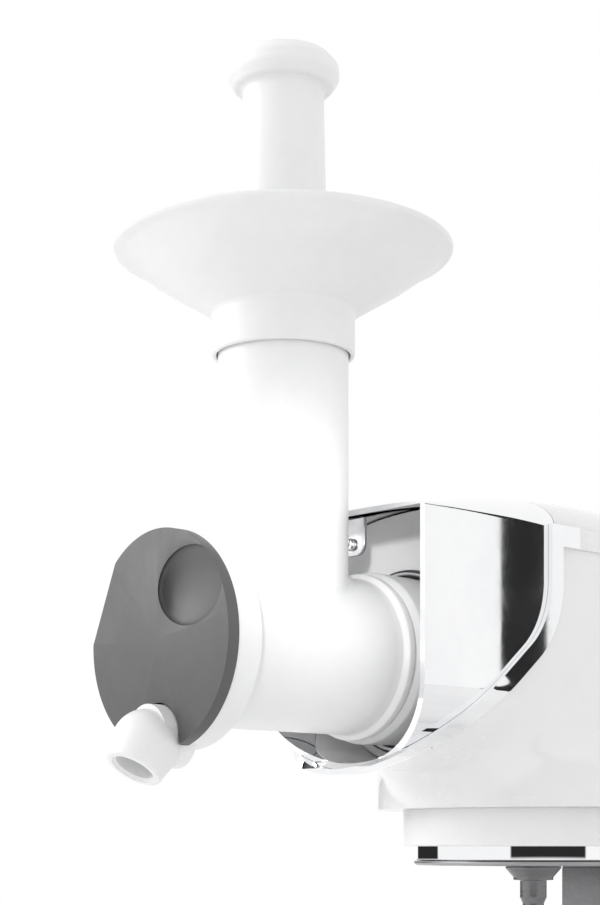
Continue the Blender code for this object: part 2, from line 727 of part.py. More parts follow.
def make_lower_shell():
    """Lower head shell with the round chin over the planetary drive, and the slot for the hinge tongue."""
    shell = head_form(0.0, HEAD_FRONT, HEAD_REAR)
    chin_profile = [(0.0, CHIN_HIGH)]
    chin_profile += [
        (CHIN_R - 0.022 + u, CHIN_HIGH - 0.022 + v) for u, v in arc((0, 0), 0.022, math.pi / 2, 0.0, 5)
    ]
    chin_profile += [(CHIN_R, CHIN_LOW + 0.004), (CHIN_R - 0.004, CHIN_LOW), (0.0, CHIN_LOW)]
    place = upright(0.0, PLANET_BACK)
    shell = boolean(shell, turned("chin", chin_profile, place, LARGE_ROUND), "UNION")
    shell = boolean(shell, head_form(-HEAD_WALL, HEAD_FRONT - 0.010, HEAD_REAR - HEAD_WALL))
    inside = CHIN_R - HEAD_WALL
    hollow = [(0.0, CHIN_HIGH - HEAD_WALL), (inside - 0.022, CHIN_HIGH - HEAD_WALL)]
    hollow += [(inside, CHIN_HIGH - 0.024), (inside, CHIN_LOW + HEAD_WALL), (0.0, CHIN_LOW + HEAD_WALL)]
    shell = boolean(shell, turned("hollow", hollow, place, LARGE_ROUND))
    mouth = rod_profile(GUARD_R + GAP, CHIN_LOW + 0.010, CHIN_LOW - 0.010)
    shell = boolean(shell, turned("mouth", mouth, place, LARGE_ROUND))
    slot_half = TONGUE_HALF_WIDTH + 0.001
    slot = block(
        "slot",
        (-slot_half, back(HINGE_BACK - TONGUE_R - 0.003), BELOW),
        (slot_half, back(HEAD_REAR + 0.010), HINGE_Z - 0.008),
    )
    shell = boolean(shell, slot)
    reach = HEAD_HALF_WIDTH + 0.010
    bore = rod_profile(HINGE_PIN_R + GAP, reach, -reach)
    shell = boolean(shell, turned("bore", bore, along_x(HINGE_BACK, HINGE_Z), SMALL_ROUND))
    shell = boolean(shell, flat("region", lower_region(), 0.3, side_view()), "INTERSECT")
    keep(shell, "head_lower_shell", "shell")
    pin = rod_profile(HINGE_PIN_R, HEAD_HALF_WIDTH - 0.004, 0.004 - HEAD_HALF_WIDTH, 0.0005)
    keep(turned("pin", pin, along_x(HINGE_BACK, HINGE_Z), SMALL_ROUND), "hinge_pin", "steel")


def make_top_cover():
    """Crowned top cover of the head."""
    cover = boolean(head_skin(), flat("region", cover_region(), 0.3, side_view()), "INTERSECT")
    keep(cover, "head_top_cover", "shell")


def make_recess():
    """Panel, hub ring, socket sleeve, and hinge tab with its screw, all inside the cowl."""
    first = PANEL_BACK
    last = first + PANEL_THICKNESS
    panel = head_form(-HEAD_WALL - GAP, first, last)
    hole = rod_profile(SPIGOT_R + GAP, last + 0.010, first - 0.010)
    panel = boolean(panel, turned("hole", hole, along_y()))
    keep(panel, "recess_panel", "panel")
    ring = [(HUB_R, first - GAP), (COLLAR_R + 3 * GAP, first - GAP)]
    ring += [(COLLAR_R + 3 * GAP, HUB_FRONT), (HUB_R - 0.001, HUB_FRONT), (HUB_R, HUB_FRONT + 0.001)]
    keep(turned("ring", ring, along_y(), ring=True), "hub_ring", "chrome")
    sleeve = ring_profile(SPIGOT_R + 0.006, SPIGOT_R + GAP, SPIGOT_REAR + 0.004, last + GAP)
    keep(turned("sleeve", sleeve, along_y(), ring=True), "hub_sleeve", "steel")
    front = HEAD_FRONT + 0.020
    roof = SHOULDER_Z + crown(front) - HEAD_WALL - TAB_ROOF_GAP
    half = TAB_WIDTH / 2
    corner = TAB_WIDTH / 3
    outline = [(-half, 0.0)]
    outline += arc((corner - half, corner - TAB_DROP), corner, math.pi, 1.5 * math.pi, 5)
    outline += arc((half - corner, corner - TAB_DROP), corner, 1.5 * math.pi, math.tau, 5)
    outline += [(half, 0.0)]
    turn = Matrix(((1, 0, 0, TAB_X), (0, 0, -1, back(front)), (0, 1, 0, roof), (0, 0, 0, 1)))
    tab = flat("tab", outline, 0.002, turn)
    screw_z = roof - TAB_DROP * 0.7
    screw_x = TAB_X
    hole = rod_profile(SCREW_R * 0.55, front + 0.01, front - 0.01)
    tab = boolean(tab, turned("hole", hole, along_y(screw_z, screw_x), SMALL_ROUND))
    keep(tab, "flap_hinge_tab", "steel")
    head = front - 0.001 - GAP
    shank = SCREW_R * 0.5
    profile = [(0.0, front + 0.006), (shank, front + 0.006), (shank, head), (SCREW_R, head)]
    profile += [(SCREW_R, head - 0.0012), (SCREW_R * 0.6, head - 0.0020), (0.0, head - 0.0020)]
    screw = turned("screw", profile, along_y(screw_z, screw_x), 16)
    keep(screw, "hinge_tab_screw", "steel")


# ---- Planetary drive, motor and belt ----


def tool_offset():
    """Distance of the tool spindle from the planetary axis."""
    return math.hypot(TOOL_X, TOOL_FORWARD)


def make_guard():
    """Guard ring under the chin, gearbox plate, its bearing and the fixed ring gear."""
    place = upright(0.0, PLANET_BACK)
    low = HEAD_DATUM + 0.0005
    top = CHIN_LOW + HEAD_WALL + 0.002
    guard = ring_profile(GUARD_R, GUARD_R - GUARD_WALL, top, low)
    keep(turned("guard", guard, place, LARGE_ROUND, ring=True), "planetary_guard_ring", "white")
    gear_low = HEAD_DATUM + 0.0055
    outer = arc((0, 0), GUARD_R - GUARD_WALL - GAP, 0.0, math.tau * (LARGE_ROUND - 1) / LARGE_ROUND, LARGE_ROUND - 1)
    tip = ring_gear_tip()
    middle = place @ Matrix.Translation((0.0, 0.0, gear_low + GEAR_FACE / 2))
    gear = flat("gear", outer, GEAR_FACE, middle)
    inner = flat("teeth", toothed(tip, tip + GEAR_ROOT_DEPTH, RING_GEAR_TEETH), GEAR_FACE + 0.002, middle)
    keep(boolean(gear, inner), "ring_gear", "gear")
    plate_low = top + 0.003
    plate_profile = ring_profile(
        CHIN_R - HEAD_WALL - GAP, PLANET_SHAFT_R + 0.002, plate_low + 0.003, plate_low
    )
    keep(turned("plate", plate_profile, place, LARGE_ROUND, ring=True), "gearbox_plate", "steel")
    bearing_low = plate_low + 0.003 + GAP
    bearing = ring_profile(PLANET_SHAFT_R + 0.007, PLANET_SHAFT_R + RUNNING, bearing_low + 0.009, bearing_low)
    keep(turned("bearing", bearing, place, SMALL_ROUND, ring=True), "planetary_bearing", "brass")


def ring_gear_tip():
    """Inner radius of the ring gear's teeth."""
    share = RING_GEAR_TEETH / (RING_GEAR_TEETH - PLANET_PINION_TEETH)
    return tool_offset() * share


def make_planet():
    """Turning carrier with its shaft, the bottom plate, the accessory block, bevel and belt pulley."""
    place = upright(0.0, PLANET_BACK)
    pivot = (0.0, back(PLANET_BACK), HEAD_DATUM)
    disc_top = HEAD_DATUM + 0.0035
    shaft_top = BELT_Z + BELT_WIDTH / 2 + 0.001
    profile = [(0.0, shaft_top), (PLANET_SHAFT_R, shaft_top), (PLANET_SHAFT_R, disc_top)]
    profile += [(BAND_R, disc_top), (BAND_R, BAND_LOW), (0.0, BAND_LOW)]
    carrier = turned("carrier", profile, place, LARGE_ROUND)
    tool_place = upright(TOOL_X, PLANET_BACK - TOOL_FORWARD)
    hole = rod_profile(TOOL_SHAFT_R * 0.8 + RUNNING, disc_top + 0.01, BAND_LOW - 0.01)
    carrier = boolean(carrier, turned("hole", hole, tool_place, SMALL_ROUND))
    keep(carrier, "planet_carrier", "chrome", pivot)
    plate_top = BAND_LOW - GAP
    plate = [(0.0, plate_top), (PLATE_R, plate_top), (PLATE_R, plate_top - PLATE_THICKNESS * 0.6)]
    plate += [(PLATE_R - 0.001, plate_top - PLATE_THICKNESS), (0.0, plate_top - PLATE_THICKNESS)]
    plate = turned("plate", plate, place, LARGE_ROUND)
    plate = boolean(plate, turned("hole", hole, tool_place, SMALL_ROUND))
    keep(plate, "planet_bottom_plate", "steel", pivot)
    block_top = plate_top - PLATE_THICKNESS - GAP
    half = BLOCK_SIZE / 2
    middle = (BLOCK_X, back(PLANET_BACK + BLOCK_BEHIND))
    accessory = block(
        "accessory",
        (middle[0] - half, middle[1] - half, block_top - BLOCK_HEIGHT),
        (middle[0] + half, middle[1] + half, block_top),
        0.0015,
    )
    keep(accessory, "scraper_socket", "steel", pivot)
    far = BARREL_Z - BEVEL_R
    near = BARREL_Z - BEVEL_R * 0.6
    bore = PLANET_SHAFT_R + GAP
    bevel = [(BEVEL_R * 0.6 - GAP, near), (BEVEL_R - GAP, far)]
    bevel += [(BEVEL_R - GAP, far - 0.003), (bore, far - 0.003), (bore, near)]
    keep(turned("bevel", bevel, place, SMALL_ROUND, ring=True), "planet_bevel_gear", "gear", pivot)
    middle = place @ Matrix.Translation((0.0, 0.0, BELT_Z))
    pulley = flat("pulley", toothed(PLANET_PULLEY_R - 0.0012, PLANET_PULLEY_R, PLANET_PULLEY_TEETH), BELT_WIDTH, middle)
    core = rod_profile(bore, BELT_Z + 0.02, BELT_Z - 0.02)
    pulley = boolean(pulley, turned("core", core, place, SMALL_ROUND))
    keep(pulley, "planet_pulley", "gear", pivot)


def make_tool_spindle():
    """The spindle that carries a stirring tool, and its pinion."""
    place = upright(TOOL_X, PLANET_BACK - TOOL_FORWARD)
    pivot = (TOOL_X, back(PLANET_BACK - TOOL_FORWARD), HEAD_DATUM)
    under = BAND_LOW - GAP - PLATE_THICKNESS - GAP
    low = HEAD_DATUM + 0.0055
    high = low + GEAR_FACE
    neck = TOOL_SHAFT_R * 0.8
    cone_low = under - TOOL_CONE_HEIGHT
    tip = HEAD_DATUM - TOOL_LENGTH
    profile = [(0.0, high), (neck, high), (neck, under), (TOOL_CONE_R, under)]
    profile += [(TOOL_CONE_R * 0.72, cone_low), (TOOL_CONE_R * 0.72, cone_low - 0.0014)]
    profile += [(TOOL_SHAFT_R, cone_low - 0.0014), (TOOL_SHAFT_R, cone_low - 0.011)]
    profile += [(TOOL_SHAFT_R * 0.8, cone_low - 0.014), (TOOL_SHAFT_R * 0.7, tip), (0.0, tip)]
    keep(turned("spindle", profile, place, SMALL_ROUND), "tool_spindle", "steel", pivot)
    radius = ring_gear_tip() - tool_offset() - GAP
    middle = place @ Matrix.Translation((0.0, 0.0, low + GEAR_FACE / 2))
    pinion = flat("pinion", toothed(radius - GEAR_ROOT_DEPTH, radius, PLANET_PINION_TEETH), GEAR_FACE, middle)
    core = rod_profile(neck + GAP, high + 0.01, low - 0.01)
    pinion = boolean(pinion, turned("core", core, place, SMALL_ROUND))
    keep(pinion, "planet_pinion", "gear", pivot)


def make_motor():
    """Motor can, end cap and stator, and the rotor with its fan and pulley."""
    place = upright(0.0, MOTOR_BACK)
    pivot = (0.0, back(MOTOR_BACK), MOTOR_LOW)
    top = MOTOR_LOW + MOTOR_HEIGHT
    inner = MOTOR_R - MOTOR_WALL
    floor = MOTOR_LOW + MOTOR_WALL
    bore = MOTOR_SHAFT_R + RUNNING
    can = [(MOTOR_R, top), (MOTOR_R, MOTOR_LOW), (bore, MOTOR_LOW), (bore, floor), (inner, floor), (inner, top)]
    keep(turned("can", can, place, ring=True), "motor_can", "steel")
    cap = ring_profile(MOTOR_R, MOTOR_SHAFT_R + RUNNING, top + GAP + 0.003, top + GAP)
    keep(turned("cap", cap, place, ring=True), "motor_end_cap", "grey")
    stator = ring_profile(inner - GAP, inner - GAP - STATOR_WALL, top - 0.026, floor + 0.006)
    keep(turned("stator", stator, place, ring=True), "motor_stator", "steel")
    armature_low = floor + 0.008
    armature_high = top - 0.028
    shaft_high = BELT_Z + BELT_WIDTH / 2 + 0.001
    profile = [(0.0, shaft_high), (MOTOR_SHAFT_R, shaft_high), (MOTOR_SHAFT_R, armature_high)]
    profile += [(ARMATURE_R, armature_high), (ARMATURE_R, armature_low)]
    profile += [(MOTOR_SHAFT_R, armature_low), (MOTOR_SHAFT_R, floor - 0.001), (0.0, floor - 0.001)]
    keep(turned("rotor", profile, place, 32), "motor_rotor", "brass", pivot)
    fan_middle = place @ Matrix.Translation((0.0, 0.0, top - 0.012))
    fan = flat("fan", toothed(0.011, inner - 0.004, 9), 0.008, fan_middle)
    hub_hole = rod_profile(MOTOR_SHAFT_R + GAP, top + 0.01, top - 0.04)
    fan = boolean(fan, turned("hole", hub_hole, place, SMALL_ROUND))
    keep(fan, "motor_fan", "gear", pivot)
    middle = place @ Matrix.Translation((0.0, 0.0, BELT_Z))
    pulley = flat("pulley", toothed(MOTOR_PULLEY_R - 0.0012, MOTOR_PULLEY_R, MOTOR_PULLEY_TEETH), BELT_WIDTH, middle)
    hub_hole = rod_profile(MOTOR_SHAFT_R + GAP, BELT_Z + 0.02, BELT_Z - 0.02)
    pulley = boolean(pulley, turned("hole", hub_hole, place, SMALL_ROUND))
    keep(pulley, "motor_pulley", "gear", pivot)


def belt_outline(extra):
    """Plan of a belt round both pulleys, this far outside their tips."""
    apart = MOTOR_BACK - PLANET_BACK
    lean = math.acos((PLANET_PULLEY_R - MOTOR_PULLEY_R) / apart)
    big = arc((0.0, 0.0), PLANET_PULLEY_R + extra, math.pi / 2 + lean, 2.5 * math.pi - lean, 36)
    small = arc((0.0, apart), MOTOR_PULLEY_R + extra, math.pi / 2 - lean, math.pi / 2 + lean, 8)
    return big + small


def make_drive_belt():
    """The toothed belt, as a plain closed loop."""
    place = upright(0.0, PLANET_BACK, BELT_Z)
    belt = flat("belt", belt_outline(GAP + BELT_THICKNESS), BELT_WIDTH - 0.001, place)
    keep(boolean(belt, flat("inner", belt_outline(GAP), BELT_WIDTH + 0.01, place)), "drive_belt", "rubber")


# ---- Mincing attachment ----


def make_body():
    """Grinder body: barrel, upright feed tube, rear collar and spigot in one casting."""
    outer = [(0.0, SPIGOT_REAR), (SPIGOT_R, SPIGOT_REAR), (SPIGOT_R, COLLAR_REAR), (COLLAR_R, COLLAR_REAR)]
    bead_rear = COLLAR_FRONT - BEAD_WIDTH / 2
    bead_r = BARREL_R + BEAD_PROUD
    outer += [(COLLAR_R, COLLAR_FRONT), (BARREL_R, COLLAR_FRONT - 0.001), (BARREL_R, bead_rear)]
    outer += [(bead_r, bead_rear - BEAD_WIDTH * 0.3), (bead_r, bead_rear - BEAD_WIDTH * 0.7)]
    outer += [(BARREL_R, bead_rear - BEAD_WIDTH), (BARREL_R, BARREL_FRONT + LUG_LENGTH)]
    outer += [(LUG_R, BARREL_FRONT + LUG_LENGTH), (LUG_R, BARREL_FRONT), (0.0, BARREL_FRONT)]
    body = turned("body", outer, along_y())
    place = upright(0.0, 0.0)
    body = boolean(body, turned("tube", rod_profile(TUBE_R, TUBE_TOP, BARREL_Z), place), "UNION")
    inner_r = BARREL_R - BARREL_WALL
    bore = [(0.0, SPIGOT_REAR + 0.01), (SPIGOT_BORE_R, SPIGOT_REAR + 0.01), (SPIGOT_BORE_R, BARREL_BORE_REAR)]
    bore += [(inner_r, BARREL_BORE_REAR), (inner_r, BARREL_FRONT - 0.01), (0.0, BARREL_FRONT - 0.01)]
    body = boolean(body, turned("bore", bore, along_y()))
    tube_bore = rod_profile(TUBE_R - TUBE_WALL, TUBE_TOP + 0.01, BARREL_Z)
    body = boolean(body, turned("tube_bore", tube_bore, place))
    keep(body, "grinder_body", "white")


def flight():
    """Helical flight of the feed screw as a closed ribbon."""
    length = FLIGHT_REAR - FLIGHT_FRONT
    turns = length / FLIGHT_PITCH
    count = int(turns * 20)
    root = SCREW_CORE_R - 0.002
    bm = bmesh.new()
    sections = []
    for index in range(count + 1):
        share = index / count
        angle = share * turns * math.tau
        middle = FLIGHT_FRONT + FLIGHT_THICKNESS / 2 + share * (length - FLIGHT_THICKNESS)
        section = []
        for radius, half in ((root, 0.7), (FLIGHT_R, 0.35), (FLIGHT_R, -0.35), (root, -0.7)):
            along = back(middle + half * FLIGHT_THICKNESS / 1.4)
            spot = (radius * math.cos(angle), along, BARREL_Z + radius * math.sin(angle))
            section.append(bm.verts.new(spot))
        sections.append(section)
    for section, following in zip(sections, sections[1:]):
        for index in range(4):
            after = (index + 1) % 4
            bm.faces.new((section[index], section[after], following[after], following[index]))
    bm.faces.new(sections[0])
    bm.faces.new(sections[-1][::-1])
    return put_mesh("flight", bm, CUTTERS)


def make_feed_screw():
    """Feed screw, its hexagonal tail, the power shaft and bevel, the knife, and what they run in."""
    pivot = (0.0, TUBE_Y, BARREL_Z)
    knife_rear = FLIGHT_FRONT - 0.0055
    knife_front = knife_rear - KNIFE_THICKNESS
    plate_rear = knife_front - GAP
    plate_front = plate_rear - MINCING_PLATE_THICKNESS
    core_rear = BARREL_BORE_REAR - GAP
    core = [(0.0, core_rear), (SCREW_CORE_R, core_rear), (SCREW_CORE_R, knife_rear + GAP)]
    core += [(STUD_R, knife_rear + GAP), (STUD_R, plate_front - 0.002), (0.0, plate_front - 0.002)]
    screw = boolean(turned("core", core, along_y(), SMALL_ROUND), flight(), "UNION")
    keep(screw, "feed_screw", "white", pivot)
    hexagon = rod_profile(SPIGOT_BORE_R - 0.0015, PTO_FRONT - GAP, BARREL_BORE_REAR + GAP)
    keep(turned("hex", hexagon, along_y(), 6), "drive_coupling", "steel", pivot)
    shaft_rear = PLANET_BACK - PLANET_SHAFT_R - 0.004
    shaft = rod_profile(PTO_R, shaft_rear, PTO_FRONT, 0.0008)
    keep(turned("shaft", shaft, along_y(), SMALL_ROUND), "power_shaft", "steel", pivot)
    far = PLANET_BACK - BEVEL_R
    near = PLANET_BACK - BEVEL_R * 0.65
    bore = PTO_R + GAP
    bevel = [(BEVEL_R * 0.65 - GAP, near), (BEVEL_R - GAP, far), (BEVEL_R - GAP, far - 0.003)]
    bevel += [(bore, far - 0.003), (bore, near)]
    keep(turned("bevel", bevel, along_y(), SMALL_ROUND, ring=True), "power_bevel_gear", "gear", pivot)
    knife = flat(
        "knife",
        knife_outline(),
        KNIFE_THICKNESS,
        along_y() @ Matrix.Translation((0.0, 0.0, (knife_rear + knife_front) / 2)),
    )
    eye = rod_profile(STUD_R + GAP, knife_rear + 0.01, knife_front - 0.01)
    knife = boolean(knife, turned("eye", eye, along_y(), SMALL_ROUND))
    keep(knife, "cross_knife", "steel", pivot)
    plate_r = BARREL_R - BARREL_WALL - GAP
    plate = turned("plate", ring_profile(plate_r, STUD_R + RUNNING, plate_rear, plate_front), along_y(), ring=True)
    for radius, count in HOLE_RINGS:
        for index in range(count):
            angle = index * math.tau / count
            x = radius * math.cos(angle)
            z = BARREL_Z + radius * math.sin(angle)
            hole = rod_profile(HOLE_R, plate_rear + 0.01, plate_front - 0.01)
            plate = boolean(plate, turned("hole", hole, along_y(z, x), 6))
    keep(plate, "mincing_plate", "steel")
    bush = ring_profile(SCREW_CORE_R + 0.010, SCREW_CORE_R + RUNNING, core_rear, FLIGHT_REAR + RUNNING)
    keep(turned("bush", bush, along_y(), SMALL_ROUND, ring=True), "rear_bush", "gear")
    seal = ring_profile(SPIGOT_BORE_R - GAP, PTO_R + RUNNING, COLLAR_REAR + 0.011, COLLAR_REAR + 0.005)
    keep(turned("seal", seal, along_y(), SMALL_ROUND, ring=True), "shaft_seal", "rubber")


def knife_outline():
    """Four-armed knife with swept edges."""
    points = []
    for arm in range(4):
        turn = arm * math.tau / 4
        for angle, radius in ((-0.22, KNIFE_REACH), (0.02, KNIFE_REACH), (0.50, KNIFE_HUB_R), (1.07, KNIFE_HUB_R)):
            points.append((radius * math.cos(turn + angle), radius * math.sin(turn + angle)))
    return points


def spout_place():
    """Placing whose Z runs along the spout's axis, out of its mouth, from the middle of its round root."""
    turn = Matrix.Rotation(math.pi / 2 + SPOUT_ANGLE, 4, "X")
    return Matrix.Translation((0.0, back(SPOUT_FORWARD), BARREL_Z - SPOUT_DOWN)) @ turn


def spout_form(extra):
    """Spout with a round root, and the level neck that joins it to the housing, grown by an even amount."""
    root_r = SPOUT_ROOT_R + extra
    profile = [(0.0, SPOUT_LENGTH), (SPOUT_TIP_R + extra, SPOUT_LENGTH)]
    profile += arc((0.0, 0.0), root_r, 0.0, -math.pi / 2, 7)[:-1] + [(0.0, -root_r)]
    spout = turned("spout", profile, spout_place())
    level = BARREL_Z - NECK_DOWN
    neck = rod_profile(NECK_R + extra, OUTLET_FRONT + OUTLET_WALL, SPOUT_FORWARD)
    return boolean(spout, turned("neck", neck, along_y(level)), "UNION")


def make_outlet():
    """Outlet housing with its spout, and the grey cap in front, which turn together."""
    pivot = (0.0, TUBE_Y, BARREL_Z)
    inner = LUG_R + 2 * GAP
    lip_front = OUTLET_REAR - 0.0015
    front_wall = OUTLET_FRONT + OUTLET_WALL
    profile = [(0.0, front_wall), (inner, front_wall), (inner, lip_front - 0.0002)]
    profile += [(BARREL_R + 2 * GAP, lip_front), (BARREL_R + 2 * GAP, OUTLET_REAR), (OUTLET_R - 0.001, OUTLET_REAR)]
    profile += [(OUTLET_R, OUTLET_REAR - 0.001), (OUTLET_R, OUTLET_FRONT), (0.0, OUTLET_FRONT)]
    housing = turned("housing", profile, along_y())
    housing = boolean(housing, spout_form(0.0), "UNION")
    channel = rod_profile(SPOUT_BORE_R, SPOUT_LENGTH + 0.010, 0.0)
    housing = boolean(housing, turned("channel", channel, spout_place(), SMALL_ROUND))
    through = rod_profile(NECK_BORE_R, front_wall + 0.002, SPOUT_FORWARD)
    housing = boolean(housing, turned("through", through, along_y(BARREL_Z - NECK_DOWN), SMALL_ROUND))
    keep(housing, "outlet_housing", "white", pivot)
    rear = OUTLET_FRONT - GAP
    front = rear - CAP_THICKNESS
    edge = 0.0012
    cap = [(0.0, rear), (CAP_R, rear), (CAP_R, front + edge), (CAP_R - edge, front), (0.0, front)]
    cap = turned("cap", cap, along_y(), 56)
    chord = block("chord", (CAP_CHORD, -0.1, -0.1), (CAP_CHORD + 0.1, 0.1, 0.1))
    chord.data.transform(Matrix.Rotation(-CAP_CHORD_ANGLE, 4, "Y"))
    chord.data.transform(Matrix.Translation((0.0, TUBE_Y, BARREL_Z)))
    cap = boolean(cap, chord)
    cap = boolean(cap, spout_form(0.0008))
    scoop = bmesh.new()
    centre = (SCOOP_X, back(front), BARREL_Z + SCOOP_UP)
    size = Matrix.Diagonal((SCOOP_HALF_WIDTH, SCOOP_DEPTH, SCOOP_HALF_HEIGHT, 1.0))
    place = Matrix.Translation(centre) @ Matrix.Rotation(-SCOOP_TILT, 4, "Z") @ size
    bmesh.ops.create_uvsphere(scoop, u_segments=32, v_segments=20, radius=1.0, matrix=place)
    cap = boolean(cap, put_mesh("scoop", scoop, CUTTERS))
    keep(cap, "front_cap", "grey", pivot)


def make_tray():
    """Hopper tray with the collar that drops over the tube."""
    throat = TUBE_R - TUBE_WALL
    over = TUBE_R + GAP
    seat = TUBE_TOP + GAP
    lip = 0.0012
    profile = [(TRAY_RIM_R, TRAY_RIM_Z + lip), (TRAY_RIM_R, TRAY_RIM_Z - lip)]
    profile += [(TRAY_COLLAR_R, TRAY_FOOT_Z), (TRAY_COLLAR_R, TRAY_COLLAR_LOW + 0.001)]
    profile += [(TRAY_COLLAR_R - 0.001, TRAY_COLLAR_LOW), (over, TRAY_COLLAR_LOW), (over, seat)]
    profile += [(throat, seat), (throat, TRAY_FOOT_Z), (throat + 0.004, TRAY_FOOT_Z + TRAY_WALL)]
    profile += [(TRAY_RIM_R - TRAY_WALL, TRAY_RIM_Z + lip)]
    tray = turned("tray", profile, upright(0.0, 0.0), LARGE_ROUND, ring=True)
    keep(tray, "hopper_tray", "white", (0.0, TUBE_Y, TRAY_FOOT_Z))


def make_pusher():
    """Food pusher: a tapered cup with a round head, open at the top."""
    wall = PUSHER_WALL
    high = PUSHER_HEAD_HIGH
    low = PUSHER_HEAD_LOW
    middle = (high * 0.55 + low * 0.45)
    profile = [(PUSHER_NECK_R - wall, high - 0.002), (PUSHER_NECK_R, high)]
    profile += [(PUSHER_HEAD_R - 0.004, high), (PUSHER_HEAD_R - 0.0010, high - 0.003)]
    profile += [(PUSHER_HEAD_R, middle), (PUSHER_HEAD_R - 0.002, low + 0.001), (PUSHER_NECK_R, low)]
    profile += [(PUSHER_FOOT_R, TRAY_FOOT_Z), (PUSHER_FOOT_R, PUSHER_LOW_Z), (0.0, PUSHER_LOW_Z)]
    profile += [(0.0, PUSHER_LOW_Z + wall), (PUSHER_FOOT_R - wall, PUSHER_LOW_Z + wall)]
    profile += [(PUSHER_FOOT_R - wall, TRAY_FOOT_Z)]
    pusher = turned("pusher", profile, upright(0.0, 0.0), ring=True)
    keep(pusher, "pusher", "white", (0.0, TUBE_Y, PUSHER_LOW_Z))


def make_all():
    make_base()
    make_column()
    make_controls()
    make_cowl()
    make_belt()
    make_lower_shell()
    make_top_cover()
    make_recess()
    make_guard()
    make_planet()
    make_tool_spindle()
    make_motor()
    make_drive_belt()
    make_body()
    make_feed_screw()
    make_outlet()
    make_tray()
    make_pusher()


make_all()
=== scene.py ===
"""Looks of the electric meat grinder: fine shells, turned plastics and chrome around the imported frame."""

import contextlib
import math

import bmesh
import bpy
import numpy as np
from mathutils import Matrix, Vector


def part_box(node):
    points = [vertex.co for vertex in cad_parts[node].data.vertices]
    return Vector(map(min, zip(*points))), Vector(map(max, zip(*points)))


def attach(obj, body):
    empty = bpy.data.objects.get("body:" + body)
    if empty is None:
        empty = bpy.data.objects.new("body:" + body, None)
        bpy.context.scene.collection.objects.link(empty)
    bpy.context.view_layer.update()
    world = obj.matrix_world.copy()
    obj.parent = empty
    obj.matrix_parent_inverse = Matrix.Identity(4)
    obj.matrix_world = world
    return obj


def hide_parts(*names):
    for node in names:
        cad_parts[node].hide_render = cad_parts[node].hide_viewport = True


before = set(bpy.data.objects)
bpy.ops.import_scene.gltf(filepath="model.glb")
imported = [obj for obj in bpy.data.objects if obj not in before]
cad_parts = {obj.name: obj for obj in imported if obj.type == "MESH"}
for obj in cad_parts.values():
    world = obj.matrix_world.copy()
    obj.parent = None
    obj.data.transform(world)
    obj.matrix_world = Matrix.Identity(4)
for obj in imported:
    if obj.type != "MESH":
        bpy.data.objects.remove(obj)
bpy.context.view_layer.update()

# ---- Places and sizes, from the frame ----


def middle(node):
    """Centre of a node's box."""
    low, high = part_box(node)
    return (low + high) / 2


TUBE_Y = middle("hopper_tray").y
BARREL_Z = middle("feed_screw").z
PLANET_Y = middle("planetary_guard_ring").y
GUARD_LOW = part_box("planetary_guard_ring")[0].z
HEAD_DATUM = GUARD_LOW - 0.0005
HEAD_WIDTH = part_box("head_top_cover")[1].x
HEAD_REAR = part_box("head_lower_shell")[1].y - TUBE_Y
HEAD_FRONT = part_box("front_cowl")[0].y - TUBE_Y
SHOULDER_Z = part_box("cowl_rim")[1].z
SEAM_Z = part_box("head_top_cover")[0].z
ROOF_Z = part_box("head_top_cover")[1].z
TRAY_LOW, TRAY_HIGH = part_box("hopper_tray")
TRAY_R = TRAY_HIGH.x
PUSHER_LOW, PUSHER_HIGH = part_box("pusher")
BODY_LOW, BODY_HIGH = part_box("grinder_body")
CAP_LOW, CAP_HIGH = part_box("front_cap")
OUTLET_LOW, OUTLET_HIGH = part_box("outlet_housing")

# Sizes that the frame's boxes don't give, in metres
HEAD_LOW = HEAD_DATUM + 0.036
HEAD_ROUND_Z = HEAD_DATUM + 0.077
HEAD_WALL = 0.0028
REAR_ROUND = 0.070
CROWN_FRONT = 0.003
CROWN_TOP = ROOF_Z - SHOULDER_Z
CROWN_BACK = 0.150
SWEEP_REAR = 0.118
SWEEP_R = 0.045
SWEEP_ANGLE = math.radians(40)
SWEEP_LIP = (0.0374, HEAD_DATUM + 0.036)
FRONT_ARC_R = 0.077
RIM_HALF = 0.004
RIM_PROUD = 0.0026
BARREL_R = 0.0360
BODY_WALL = 0.0030
COLLAR_R = 0.0395
THROAT_R = 0.0260
TRAY_FOOT = 0.020
SPOUT_ANGLE = math.radians(57)
SPOUT_LENGTH = 0.0131
SPOUT_REACH = 0.0765
SPOUT_DROP = 0.0445
SPOUT_ROOT_R = 0.0150
SPOUT_TIP_R = 0.0125
SPOUT_BORE_R = 0.0085
NECK_R = 0.0135
NECK_BORE_R = 0.0075
NECK_RISE = 0.0035
NOTCH_GAP = 0.0008
OUTLET_FRONT = -0.0645
SCOOP_HALF = (0.0240, 0.0050, 0.0168)
SCOOP_TILT = math.radians(6)
SCOOP_ACROSS = 0.0215
SCOOP_UP = 0.021
TAIL_NARROWING = 0.45
TAIL_LIFT = 0.020
TAIL_DROP = 0.022
TAIL_POWER = 2.6
CHIN_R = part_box("head_lower_shell")[1].x
CHIN_LOW = HEAD_DATUM + 0.019
CHIN_TOP = HEAD_DATUM + 0.062
CHIN_ROUND = 0.022
CHIN_BLEND = 0.020
CHIN_SPARE = 0.010
SHELL_GRAIN = 0.0021
ABOVE = SHOULDER_Z + 0.060
BELOW = HEAD_DATUM - 0.030
SEAM = 0.0006
SPARE = 0.01
KNOB_Z = 0.120
LEVER_Z = 0.180
FINE = 96
MERGED = 0.000004


def back(distance):
    """World Y of a place this far behind the feed tube's axis."""
    return TUBE_Y + distance


# ---- Mesh tools ----


def link(item):
    bpy.context.scene.collection.objects.link(item)
    return item


